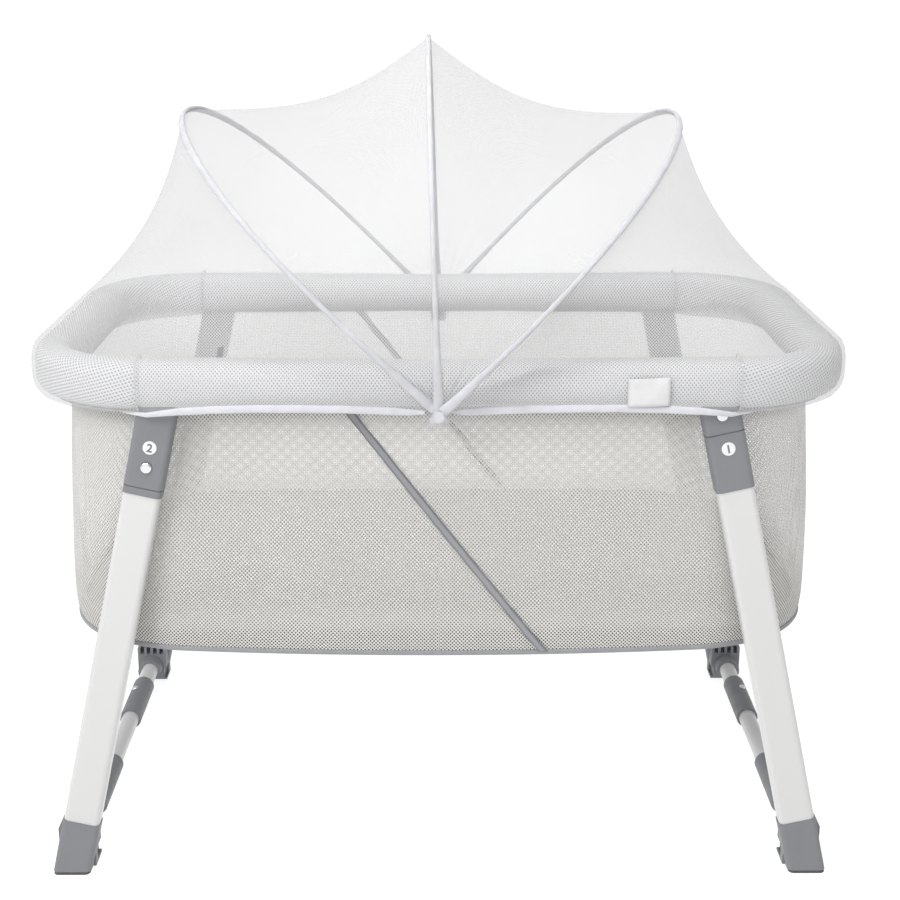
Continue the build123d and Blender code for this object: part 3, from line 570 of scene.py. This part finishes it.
# The second colour of each mesh is the painted shade in its holes; the tub's two ranges of height are its bands of
# near-black painted shade, at its bottom edge and under the pad.
RIM_MESH = spacer_mesh("rim_mesh", (0.83, 0.83, 0.84), (0.24, 0.242, 0.25), 3.9 * MM, 4.8 * MM, 0.0)
TUB_MESH = spacer_mesh(
    "tub_mesh", (0.68, 0.665, 0.64), (0.30, 0.285, 0.265), 4.1 * MM, 4.6 * MM, 0.95,
    ((tub_low.z + 14 * MM, tub_low.z + 36 * MM), (tub_high.z - 26 * MM, tub_high.z - 6 * MM)),
    gap=(-0.12, 0.6),
)
NET = sheer_net("net")
BINDING = woven_tape("white_binding", (0.66, 0.66, 0.70), 1.2 * MM, 1.6 * MM)
SLEEVE = woven_tape("hoop_sleeve_cloth", (0.60, 0.60, 0.63), 1.4 * MM, 1.6 * MM)
TAPE = woven_tape("grey_tape", (0.22, 0.223, 0.235), 2.0 * MM, 1.6 * MM)
SEWN_TAPE = woven_tape("sewn_tape", (0.20, 0.203, 0.215), 2.0 * MM, 1.6 * MM, width=TAPE_WIDTH)
PIPING = woven_tape("grey_piping", (0.31, 0.315, 0.33), 1.6 * MM, 1.6 * MM)
SATIN = woven_tape("satin_tag", (0.76, 0.76, 0.765), 0.9 * MM, 0.9 * MM, 0.5)
THREAD = quilted("seam_thread", (0.62, 0.62, 0.64))
QUILT = quilted("mattress_quilt", (0.40, 0.395, 0.385))
CANVAS = woven_tape("floor_canvas", (0.42, 0.42, 0.43), 1.8 * MM, 1.8 * MM)
PLASTIC = moulded("grey_plastic", (0.187, 0.193, 0.206), 0.5)
PALE_PLASTIC = moulded("pale_plastic", (0.52, 0.53, 0.56), 0.5)
COAT = powder_coat("white_coat", (0.615, 0.615, 0.61))
STEEL = powder_coat("grey_coat", (0.5, 0.51, 0.52))
ZINC = polished("zinc", (0.6, 0.6, 0.6), 0.35)
CHROME = polished("chrome", (0.78, 0.78, 0.79), 0.12)
RUBBER = rubber("foot_rubber", (0.06, 0.06, 0.065))
BOARD = hardboard("board", (0.42, 0.30, 0.19))
DISC_WHITE = moulded("disc_white", (0.74, 0.74, 0.74), 0.4)
DISC_GREY = moulded("disc_grey", (0.16, 0.165, 0.18), 0.5)


def dress(thing, material):
    thing.data.materials.clear()
    thing.data.materials.append(material)
    return thing


SLOT_MATERIALS = {
    "grey_plastic": PLASTIC,
    "white_tube": COAT,
    "steel_tube": STEEL,
    "screw_steel": ZINC,
    "button_chrome": CHROME,
    "foot_rubber": RUBBER,
    "board": BOARD,
    "hoop_sleeve": SLEEVE,
    "grey_tape": TAPE,
}


def dress_cad_nodes():
    """Gives each CAD node that stays in view its own finish."""
    slots = {part["node"]: part["material_slot"] for part in frame["record"]["subparts"]}
    for name, thing in frame["nodes"].items():
        material = SLOT_MATERIALS.get(slots[name])
        if material is not None:
            for slot in thing.material_slots:
                slot.material = material
    for name in ("pivot_caps", "canopy_pivots"):
        for slot in frame["nodes"][name].material_slots:
            slot.material = PALE_PLASTIC


# ---------------------------------------------------------------- padded rim
def pad_section(turn, half_width, half_height):
    """A rounded oblong at angles round it, as a superellipse."""
    c, s = np.cos(turn), np.sin(turn)
    reach = (np.abs(c) ** PAD_POWER + np.abs(s) ** PAD_POWER) ** (-1 / PAD_POWER)
    return half_width * c * reach, half_height * s * reach


def at_seam(co):
    """Which points lie at the four seams across the long sides of the pad."""
    return (np.abs(np.abs(co[:, 0]) - SEAM_X) < 3 * MM) & (np.abs(co[:, 1]) > RIM_Y - 40 * MM)


def make_rim_cover():
    """The padded mesh cover of the rim, swollen between the seams near its corners."""
    slack = 2.0 * MM
    places, outs = rounded_route(RIM_X, RIM_Y, RIM_CORNER, 280)
    turn = np.linspace(0, 2 * math.pi, 40, endpoint=False)
    across, up = pad_section(turn, PAD_HALF_WIDTH - slack, PAD_HALF_HEIGHT - slack)
    ring = np.zeros((len(places), len(turn), 3))
    ring[:, :, :2] = places[:, None] + outs[:, None] * across[None, :, None]
    ring[:, :, 2] = PAD_MID_Z + up
    cover = grid_object("rim_cover_padded", ring, closed_u=True, closed_v=True)
    inflate(cover, 5 * MM, 4.0, 5 * MM, at_seam)
    co = points_of(cover)
    near = np.abs(np.abs(co[:, 0]) - SEAM_X)
    pinch = 1.8 * MM * np.exp(-((near / (2.5 * MM)) ** 2)) * (np.abs(co[:, 1]) > RIM_Y - 40 * MM)
    _, out = rim_place(co)
    up = co[:, 2] - PAD_MID_Z
    shift = (ripple(co, 35 * MM, 0.5 * MM) - pinch) / np.hypot(out, up)
    a, b = RIM_X - RIM_CORNER, RIM_Y - RIM_CORNER
    turn = np.arctan2(co[:, 1] - np.clip(co[:, 1], -b, b), co[:, 0] - np.clip(co[:, 0], -a, a))
    co[:, 0] += np.cos(turn) * out * shift
    co[:, 1] += np.sin(turn) * out * shift
    co[:, 2] += up * shift
    set_points(cover, co)

    def weave(points):
        s, out = rim_place(points)
        t = np.arctan2((points[:, 2] - PAD_MID_Z) / PAD_HALF_HEIGHT, out / PAD_HALF_WIDTH)
        return s, t * PAD_GIRTH / (2 * math.pi)

    weave_from(cover, weave, (4 * a + 4 * b + 2 * math.pi * RIM_CORNER, PAD_GIRTH))
    turn_end_panels(cover)
    dress(cover, RIM_MESH)
    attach(cover, "basket")
    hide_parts("rim_cover", "rim_foam")

    for k, (sx, sy) in enumerate(((1, -1), (-1, -1), (-1, 1), (1, 1))):
        turn = np.linspace(0, 2 * math.pi, 72, endpoint=False)
        across, up = pad_section(turn, PAD_HALF_WIDTH + 0.2 * MM, PAD_HALF_HEIGHT + 0.2 * MM)
        loop = np.stack([np.full(72, sx * SEAM_X), sy * (RIM_Y + across), PAD_MID_Z + up], axis=1)
        seam = sweep(f"rim_seam_{k + 1}", loop, 0.8 * MM, 0.6 * MM, (1, 0, 0), 8, closed=True)
        dress(seam, THREAD)
        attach(seam, "basket")


def turn_end_panels(cover):
    """Lays the weave of the end panels, beyond the seams, across that of the long ones."""
    mesh = cover.data
    layer = mesh.uv_layers["weave"]
    co = points_of(cover)
    for face in mesh.polygons:
        x = sum(co[i][0] for i in face.vertices) / len(face.vertices)
        if abs(x) > SEAM_X:
            for i in face.loop_indices:
                u, v = layer.data[i].uv
                layer.data[i].uv = (0.8 * v + 0.35 * u, 0.9 * u - 0.3 * v)


# ---------------------------------------------------------------- tub
def tub_edge_drop(places):
    """How far the tub's bottom edge hangs below its CAD height, most in the middle of the sides."""
    flat = np.clip(1 - (places[..., 0] / TUB_SAG_X) ** 2, 0, 1)
    return -1.0 * MM + 8.0 * MM * flat


def tub_swell(share):
    """How far the cloth stands out from the straight flare of the tub, drawn in at its two edges."""
    tuck = 4 * MM * math.exp(-share * 26) + 1.5 * MM * math.exp(-((1 - share) * 12))
    return 3.0 * MM * math.sin(math.pi * min(1, share * 1.05)) - tuck


def tub_wall_y(share):
    """How far the long walls stand from the middle at a share of the tub's height."""
    return TUB_LOW[1] + (TUB_TOP[1] - TUB_LOW[1]) * share


def tub_ring(share, count=280):
    """Points round the tub at a share of its height, 0 at the bottom, with the cloth's own shape."""
    half_x = TUB_LOW[0] + (TUB_TOP[0] - TUB_LOW[0]) * share
    corner = TUB_LOW_ROUND + (TUB_TOP_ROUND - TUB_LOW_ROUND) * share
    places, outs = rounded_route(half_x, tub_wall_y(share), corner, count)
    ring = np.zeros((len(places), 3))
    height = tub_low.z + TUB_RISE * share
    ring[:, 2] = height - tub_edge_drop(places) * (1 - share) ** 1.5
    ring[:, :2] = places
    wave = ripple(ring, *TUB_WAVE) * math.sin(math.pi * share)
    ring[:, :2] += outs * (tub_swell(share) + wave)[:, None]
    return ring


def make_tub():
    """The mesh walls, the cloth floor, the binding round the bottom edge and the slanted tapes."""
    count = 34
    rows = [tub_ring(k / (count - 1)) for k in range(count)]
    wall = grid_object("tub_wall", np.stack(rows, axis=1), closed_u=True)
    dress(wall, TUB_MESH)
    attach(wall, "basket")
    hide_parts("basket_mesh")

    edge = tub_ring(0.0)
    shrink = np.linspace(1.0, 0.0, 16)[:-1]
    floor = np.stack([edge * [k, k, 1] for k in shrink], axis=1)
    floor[:, :, 2] -= 1.5 * MM * (1 - shrink ** 2)[None, :]
    base = grid_object("tub_floor", floor, closed_u=True, flip=True)
    close_row(base, len(edge), len(shrink), len(shrink) - 1)
    dress(base, CANVAS)
    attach(base, "basket")

    under = edge + [0, 0, -1.5 * MM]
    binding = sweep("tub_binding", under, 3.2 * MM, 1.9 * MM, (0, 0, 1), 12, closed=True)
    dress(binding, PIPING)
    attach(binding, "basket")
    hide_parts("basket_piping")

    tapes = [make_tape(face) for face in (-1, 1)]
    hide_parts("seam_tapes")


def close_row(body, count, rows, row):
    """Fills the hole inside one row of a body made of rings."""
    work = bmesh.new()
    work.from_mesh(body.data)
    work.verts.ensure_lookup_table()
    work.faces.new([work.verts[i * rows + row] for i in range(count)])
    bmesh.ops.recalc_face_normals(work, faces=work.faces)
    work.to_mesh(body.data)
    work.free()


def make_tape(face):
    """One slanted tape, sewn flat on a long side of the tub."""
    low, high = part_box("seam_tapes")
    top_x = low.x + TAPE_WIDTH / 2
    low_x = high.x - TAPE_WIDTH / 2
    count, lanes = 60, 7
    shares = np.linspace(0.0, 1.0, count)
    grid = np.zeros((count, lanes, 3))
    edge = tub_edge_drop(np.array([[0.0, 0.0]]))[0]
    for i, share in enumerate(shares):
        centre = low_x + (top_x - low_x) * share * TUB_RISE / (tub_high.z - tub_low.z)
        height = tub_low.z + TUB_RISE * share
        for j, lane in enumerate(np.linspace(-0.5, 0.5, lanes)):
            x = centre + lane * TAPE_WIDTH
            z = height - edge * (1 - (x / TUB_SAG_X) ** 2) * (1 - share) ** 1.5
            at = np.array([x, face * tub_wall_y(share), z])
            wave = ripple(at, *TUB_WAVE) * math.sin(math.pi * share)
            raised = 1.2 * MM + 0.4 * MM * (1 - (2 * lane) ** 2)
            grid[i, j] = (x, face * (tub_wall_y(share) + tub_swell(share) + wave + raised), z)
    tape = grid_object(f"slant_tape_{'front' if face < 0 else 'back'}", grid, flip=face > 0)
    thicken = tape.modifiers.new("thickness", "SOLIDIFY")
    thicken.thickness = 0.9 * MM
    dress(tape, SEWN_TAPE)
    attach(tape, "basket")
    return tape


# ---------------------------------------------------------------- mattress
QUILT_PITCH = 55 * MM


def make_mattress():
    """A thin quilted mattress with sewn cross channels."""
    low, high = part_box("mattress")
    half_x, half_y = high.x - 3 * MM, high.y - 3 * MM
    corner = TUB_LOW_ROUND - 11 * MM
    places, outs = rounded_route(half_x, half_y, corner, 200)
    thick = (high.z - low.z) / 2

    def ring_at(reach, lift):
        ring = np.zeros((len(places), 3))
        ring[:, :2] = places - outs * reach
        ring[:, 2] = low.z + thick + lift * thick
        return ring

    rim = [(12 * MM, -0.97), (5 * MM, -0.8), (0.0, -0.35), (0.0, 0.35), (5 * MM, 0.8), (12 * MM, 0.97)]
    rings = [ring_at(reach, lift) for reach, lift in rim]
    scale = np.linspace(0.955, 0.0, 30)[:-1]
    under = [rings[0] * [k, k, 1] for k in scale]
    over = [rings[-1] * [k, k, 1] for k in scale]
    order = under[::-1] + rings + over
    body = grid_object("mattress_pad", np.stack(order, axis=1), closed_u=True)
    for row in (0, len(order) - 1):
        close_row(body, len(places), len(order), row)
    inflate(body, 6 * MM, 3.0, 7 * MM, frames=14)
    co = points_of(body)
    top = np.clip((co[:, 2] - low.z - thick) / thick, 0, 1)
    for angle in (math.pi / 4, -math.pi / 4):
        across = co[:, 0] * math.cos(angle) + co[:, 1] * math.sin(angle)
        gap = np.abs((across / QUILT_PITCH) % 1 - 0.5) * QUILT_PITCH
        co[:, 2] -= 2.2 * MM * top * np.exp(-((gap / (5 * MM)) ** 2))
    co[:, 2] = np.clip(co[:, 2], low.z + 0.2 * MM, high.z + 6 * MM)
    set_points(body, co)
    weave_from(body, lambda p: (p[:, 0], p[:, 1]), (None, None))
    dress(body, QUILT)
    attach(body, "basket")
    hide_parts("mattress")
    cord = np.zeros((len(places), 3))
    cord[:, :2] = places + outs * 1.0 * MM
    cord[:, 2] = low.z + thick
    piping = sweep("mattress_piping", cord, 1.6 * MM, 1.6 * MM, (0, 0, 1), 8, closed=True)
    dress(piping, BINDING)
    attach(piping, "basket")


# ---------------------------------------------------------------- canopy
NET_STEPS = 72
NET_LANES = 22
NET_FIRST = math.radians(4)
NET_INSET = 1 * MM
NET_CLEARANCE = 1.3 * MM


def inward(points, depth):
    """Points drawn towards the hoops' axis by a depth, as a taut net pulls in between rods."""
    out = points * [1, 0, 1] - [0, 0, HUB_Z]
    size = np.linalg.norm(out, axis=-1, keepdims=True)
    return points - out / np.maximum(size, 1e-6) * np.asarray(depth)[..., None]


def make_gore(first, second, sag, name):
    """The net between two hoops."""
    angles = np.linspace(NET_FIRST, math.pi - NET_FIRST, NET_STEPS)
    a, b = hoop_points(first, angles, NET_INSET), hoop_points(second, angles, NET_INSET)
    share = np.linspace(0, 1, NET_LANES)
    grid = a[:, None] * (1 - share)[None, :, None] + b[:, None] * share[None, :, None]
    grid = inward(grid, sag * np.sin(angles)[:, None] * (4 * share * (1 - share))[None, :])
    gather = np.exp(-((np.minimum(angles, math.pi - angles) / 0.5) ** 2))[:, None]
    folds = 1.6 * MM * gather * (np.sin(share * math.pi * 9) * np.sin(share * math.pi))[None, :]
    grid[:, :, 1] += np.where(grid[:, :, 1] < 0, -1, 1) * folds
    net = grid_object(name, grid)
    dress(net, NET)
    return net, np.broadcast_to(share[None, :], (NET_STEPS, NET_LANES)).ravel()


def end_route(side):
    """The rim's centre line round one end of the pad, hub to hub, with its outward directions."""
    x, y, r = RIM_X, RIM_Y, RIM_CORNER
    runs = [x - r, r * math.pi / 2, 2 * (y - r), r * math.pi / 2, x - r]
    total = sum(runs)
    places, outs = [], []
    for share in np.linspace(0.012, 0.988, NET_STEPS):
        s = share * total
        k = 0
        while s > runs[k] and k < 4:
            s -= runs[k]
            k += 1
        turn = (0.0, s / r, math.pi / 2, math.pi / 2 + s / r, math.pi)[k]
        core = ((s, r - y), (x - r, r - y), (x - r, r - y + s), (x - r, y - r), (x - r - s, y - r))[k]
        out = (math.sin(turn), -math.cos(turn))
        places.append((side * (core[0] + out[0] * r), core[1] + out[1] * r))
        outs.append((side * out[0], out[1]))
    return np.array(places), np.array(outs)


def smooth_share(value, low, high):
    """0 below a range of values, 1 above it, easing in between."""
    t = np.clip((value - low) / (high - low), 0, 1)
    return t * t * (3 - 2 * t)


def make_skirt(side, top):
    """Rows of the net from the pad's crest down: hanging in front, tucked under at the end."""
    places, outs = end_route(side)
    ended = smooth_share(np.abs(places[:, 0]), SEAM_X - 8 * MM, SEAM_X + 20 * MM)
    crest = PAD_MID_Z + PAD_HALF_HEIGHT - 5 * MM
    start = np.minimum(crest, HUB_Z + 0.62 * (top[:, 2] - HUB_Z))
    reach = np.clip(np.abs(places[:, 0]) / SEAM_X, 0, 1)
    foot = PAD_BOTTOM + 9 * MM - 9 * MM * reach ** 6 - 6 * MM * (1 - reach) ** 4
    rows = []
    for share in np.linspace(0, 1, 12):
        z = start + (foot - start) * share
        rise = np.clip(np.abs(z - PAD_MID_Z) / PAD_HALF_HEIGHT, 0, 0.999)
        level = (1 - rise ** PAD_POWER) ** (1 / PAD_POWER)
        face = PAD_HALF_WIDTH * np.where(z < PAD_MID_Z, 1.0, level)
        hung = np.stack([face + 1.8 * MM, z], axis=1)
        turn = math.radians(58 - 150 * share)
        across, up = pad_section(turn, PAD_HALF_WIDTH + NET_CLEARANCE, PAD_HALF_HEIGHT + NET_CLEARANCE)
        tucked = np.tile([across, PAD_MID_Z + up], (NET_STEPS, 1))
        both = hung * (1 - ended)[:, None] + tucked * ended[:, None]
        row = np.zeros((NET_STEPS, 3))
        gather = 0.9 * MM * share * np.abs(np.sin(np.arange(NET_STEPS) * 1.9)) * (1 + share)
        row[:, :2] = places + outs * (both[:, 0] + gather)[:, None]
        row[:, 2] = both[:, 1]
        rows.append(row)
    return np.stack(rows, axis=1)


def clear_of_pad(grid):
    """Net points moved out to their clearance wherever the swollen pad would come through."""
    pad = bpy.data.objects["rim_cover_padded"]
    surface = BVHTree.FromPolygons(
        [tuple(co) for co in points_of(pad)], [tuple(face.vertices) for face in pad.data.polygons]
    )
    clear = grid.copy()
    for at in np.ndindex(grid.shape[:2]):
        point = Vector(grid[at])
        place, normal, _, _ = surface.find_nearest(point)
        if (point - place).dot(normal) < NET_CLEARANCE:
            clear[at] = place + normal * NET_CLEARANCE
    return clear


def make_end(name, hoop, side, sag):
    """The net from an end hoop to the end of the pad, with the skirt that wraps its outer face."""
    angles = np.linspace(NET_FIRST, math.pi - NET_FIRST, NET_STEPS)
    top = hoop_points(hoop, angles, NET_INSET)
    skirt = make_skirt(side, top)
    crest = skirt[:, 0]
    share = np.linspace(0, 1, NET_LANES)
    grid = top[:, None] * (1 - share)[None, :, None] + crest[:, None] * share[None, :, None]
    belly = sag * np.sin(angles)[:, None] ** 1.5 * (4 * share * (1 - share))[None, :]
    grid = inward(grid, belly)
    grid = clear_of_pad(np.concatenate([grid, skirt[:, 1:]], axis=1))
    net = grid_object(name, grid, flip=side > 0)
    return dress(net, NET), grid


def make_hem(name, net_grid):
    """The folded white binding along the bottom of the skirt."""
    line = net_grid[:, -1].copy()
    near = smooth_share(-np.abs(line[:, 0]), -SEAM_X - 30 * MM, -SEAM_X + 60 * MM)
    line[:, 2] -= 1.0 * MM * near
    tip = smooth_share(np.abs(line[:, 0]), 4 * MM, 46 * MM)
    hem = sweep(name, line, (1.4 + 2.8 * near * tip) * MM, 1.0 * MM, (0, 0, 1), 10)
    return dress(hem, BINDING)


def blend_by(net, weights, first, second):
    """Bakes a net's placement into its points; weights, first and second are not used."""
    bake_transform(net)


def make_canopy():
    """The four nets, their hems, the blank tag and the sleeves of the three hoops."""
    for end, first, second, sag in (("left", "left", "mid", 31 * MM), ("right", "mid", "right", 34 * MM)):
        net, weights = make_gore(first, second, sag, f"net_gore_{end}_cloth")
        hoops = [f"hoop_{first}", f"hoop_{second}"]
        blend_by(net, weights, *hoops)
        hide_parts(f"net_gore_{end}")

    left, left_grid = make_end("net_end_left_cloth", "left", -1, 27 * MM)
    lean = np.degrees(np.arctan2(np.abs(left_grid[:, :, 0]), left_grid[:, :, 2] - HUB_Z))
    first = math.degrees(-HOOPS["left"][2])
    blend_by(left, np.clip((90 - lean) / (90 - first), 0, 1).ravel(), "basket", "hoop_left")
    left_hem = make_hem("net_hem_left", left_grid)
    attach(left_hem, "basket")

    right, right_grid = make_end("net_end_right_cloth", "right", 1, 26 * MM)
    right_hem = make_hem("net_hem_right", right_grid)
    tag = make_tag()
    lean = HOOPS["right"][2]
    for piece in (right, right_hem, tag):
        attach(piece, "hoop_right")
        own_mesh(piece)
    for end, net, hem in (("left", left, left_hem), ("right", right, right_hem)):
        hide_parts(f"net_end_{end}")

    for name in HOOP_NAMES:
        make_sleeve(name)


def make_sleeve(name):
    """The cloth casing sewn round a hoop's rod, from just above one eye to the other."""
    first = math.radians(0.9)
    angles = np.linspace(first, math.pi - first, 150)
    line = hoop_points(name, angles)
    _, _, lean = HOOPS[name]
    side = (math.cos(lean), 0, -math.sin(lean))
    crown = np.sin(angles) ** 4
    low_end = np.exp(-((np.minimum(angles, math.pi - angles) / 0.16) ** 2))
    fuller = 0.0 if name == "mid" else 1.7
    wide = (2.7 + fuller * crown + 3.0 * low_end) * MM
    line[:, 1] += np.sign(line[:, 1]) * 2.5 * MM * low_end
    wide = wide * (1 + 0.05 * np.sin(angles * 61))
    sleeve = sweep(f"hoop_sleeve_{name}", line, wide, 2.5 * MM, side, 14)
    dress(sleeve, SLEEVE)
    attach(sleeve, "hoop_" + name)
    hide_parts("hoop_" + name)
    hub = HOOPS[name][0]
    for end, face in (("front", -1), ("back", 1)):
        eye = ring_piece(f"hoop_eye_{name}_{end}", (0, face * hub, HUB_Z))
        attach(eye, "hoop_" + name)


def ring_piece(name, centre):
    """A moulded eye: a thick washer round the pivot pin, with softened edges."""
    outer, inner, thick = 6.2 * MM, 2.6 * MM, 2.1 * MM
    profile = [(inner, -thick), (outer - 0.5 * MM, -thick), (outer, -thick + 0.5 * MM),
               (outer, thick - 0.5 * MM), (outer - 0.5 * MM, thick), (inner, thick)]
    turn = np.linspace(0, 2 * math.pi, 40, endpoint=False)
    grid = np.array([[(centre[0] + r * math.cos(t), centre[1] + y, centre[2] + r * math.sin(t))
                      for r, y in profile] for t in turn])
    eye = grid_object(name, grid, closed_u=True, closed_v=True)
    return dress(eye, PALE_PLASTIC)


def make_tag():
    """A blank satin tag, folded over the hem in front of the pad."""
    left, right = 196 * MM, 240 * MM
    top, bottom = 577 * MM, 547 * MM
    face = -(RIM_Y + PAD_HALF_WIDTH) - 5 * MM
    u, v = np.meshgrid(np.linspace(0, 1, 13), np.linspace(0, 1, 9), indexing="ij")
    x = left + (right - left) * u
    y = face + 2.0 * MM * v ** 2 - 1.2 * MM * np.sin(u * math.pi)
    z = bottom + (top - bottom) * v + 2 * MM * u
    tag = grid_object("side_tag", np.stack([x, y, z], axis=2))
    thicken = tag.modifiers.new("thickness", "SOLIDIFY")
    thicken.thickness = 0.5 * MM
    return dress(tag, SATIN)


# ---------------------------------------------------------------- numbered discs
LEG_BODIES = {1: "leg_front_right", 2: "leg_front_left", 3: "leg_back_left", 4: "leg_back_right"}
LEG_HALF_THICK = 13 * MM
DISC_DISTANCE = {1: 71 * MM, 2: 69 * MM, 3: 71 * MM, 4: 69 * MM}
DISC_PROFILE = ((7.3, -0.6), (7.3, 0.25), (7.0, 0.5), (6.4, 0.5), (0.01, 0.5))
DIGIT_LIFT = 0.55 * MM
DIGIT_SIZE = 12.5 * MM


def leg_axes(leg):
    """(outward, down the leg, across the leg) as directions, from the joints of the leg."""
    axes = {joint["name"]: Vector(joint["axis"]).normalized() for joint in frame["joints"]}
    out = -axes[f"leg_button_{leg}_press"]
    down = axes[f"{LEG_BODIES[leg]}_slide"]
    return out, down, down.cross(out).normalized()


def disc_centre(leg, out, down):
    """Where a leg's disc lies: down the leg's axis from the rim tube, on the outer face."""
    top = Vector((math.copysign(LEG_TOP_X, down.x), math.copysign(RIM_Y, down.y), PAD_MID_Z))
    return top + down * DISC_DISTANCE[leg] + out * LEG_HALF_THICK


def make_discs():
    """White discs with the legs' numbers, on the sockets of legs 2 and 4, on the collars of 1 and 3."""
    turn = np.linspace(0, 2 * math.pi, 48, endpoint=False)
    for leg in (1, 2, 3, 4):
        body = "basket" if leg % 2 == 0 else LEG_BODIES[leg]
        out, down, side = leg_axes(leg)
        centre = disc_centre(leg, out, down)
        grid = np.array([
            [centre + (side * math.cos(t) + down * math.sin(t)) * radius * MM + out * (lift * MM)
             for radius, lift in DISC_PROFILE] for t in turn
        ])
        disc = dress(grid_object(f"disc_{leg}", grid, closed_u=True), DISC_WHITE)
        digit = make_digit(str(leg), centre + out * DIGIT_LIFT, out, down)
        for piece in (disc, digit):
            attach(piece, body)


def make_digit(text, centre, out, down):
    """A digit lying flat on its disc, its foot towards the leg's foot."""
    curve = bpy.data.curves.new("digit", "FONT")
    curve.body = text
    curve.size = DIGIT_SIZE
    curve.align_x = "CENTER"
    curve.align_y = "CENTER"
    curve.extrude = 0.12 * MM
    curve.offset = 0.35 * MM
    thing = bpy.data.objects.new(f"digit_{text}", curve)
    bpy.context.scene.collection.objects.link(thing)
    bpy.context.view_layer.update()
    evaluated = thing.evaluated_get(bpy.context.evaluated_depsgraph_get())
    mesh = bpy.data.meshes.new_from_object(evaluated)
    bpy.data.objects.remove(thing)
    digit = bpy.data.objects.new(f"digit_{text}", mesh)
    bpy.context.scene.collection.objects.link(digit)
    up = -down
    right = up.cross(out).normalized()
    co = points_of(digit)
    co[:, :2] -= ((co.min(0) + co.max(0)) / 2)[:2]
    set_points(digit, [tuple(centre + right * x + up * y + out * z) for x, y, z in co])
    return dress(digit, DISC_GREY)


# ---------------------------------------------------------------- studio
FLOOR_HALF = 400.0
SURROUND = (0.82, 0.49)  # strength from the left to the right


def make_studio():
    """A wide pale floor, a white surround brighter on the left, a soft lamp and a weak one above."""
    half = FLOOR_HALF
    corners = [(-half, -half, 0), (half, -half, 0), (half, half, 0), (-half, half, 0)]
    floor = new_object("floor", corners, [(0, 1, 2, 3)], smooth=False)
    finish = Finish("pale_floor", (0.34, 0.34, 0.34), 0.9, Specular_IOR_Level=0.0,
                    Emission_Color=(1, 1, 1, 1), Emission_Strength=0.86)
    dress(floor, finish.material)
    world = bpy.data.worlds.new("white_room")
    world.use_nodes = True
    nodes, links = world.node_tree.nodes, world.node_tree.links
    place = nodes.new("ShaderNodeTexCoord")
    split = nodes.new("ShaderNodeSeparateXYZ")
    fall = nodes.new("ShaderNodeMapRange")
    for socket, number in zip(RAMP_ENDS, (-1.0, 1.0, *SURROUND)):
        fall.inputs[socket].default_value = number
    links.new(place.outputs["Generated"], split.inputs[0])
    links.new(split.outputs[0], fall.inputs["Value"])
    links.new(fall.outputs[0], nodes["Background"].inputs["Strength"])
    nodes["Background"].inputs["Color"].default_value = (1, 1, 1, 1)
    bpy.context.scene.world = world
    make_lamp("key", 33, 1.0, (-1.3, -1.9, 2.1), (0, 0, 0.45))
    make_lamp("over", 3.4, 0.7, (0.1, -0.75, 2.3), (0, 0.22, 0.45), spread=70)


def make_lamp(name, energy, size, place, aim, spread=180):
    """A square soft lamp, with its spread in degrees."""
    lamp = bpy.data.lights.new(name, "AREA")
    lamp.energy = energy
    lamp.size = size
    lamp.spread = math.radians(spread)
    thing = bpy.data.objects.new(name, lamp)
    thing.location = place
    thing.rotation_mode = "QUATERNION"
    thing.rotation_quaternion = (Vector(aim) - thing.location).to_track_quat("-Z", "Y")
    bpy.context.scene.collection.objects.link(thing)


def make_camera():
    """A long lens a little above the rim, looking down at the front."""
    camera = bpy.data.cameras.new("camera")
    camera.sensor_width = 36.0
    camera.lens = 63.3
    camera.shift_x = 0.0062
    camera.shift_y = 0.002
    thing = bpy.data.objects.new("camera", camera)
    thing.location = (-0.002, -1.855, 0.984)
    thing.rotation_euler = (math.radians(73.0), 0, math.radians(-0.27))
    bpy.context.scene.collection.objects.link(thing)
    bpy.context.scene.camera = thing
    bpy.context.scene.view_settings.view_transform = "Standard"


make_camera()
make_studio()
dress_cad_nodes()
make_rim_cover()
make_tub()
make_mattress()
make_canopy()
make_discs()
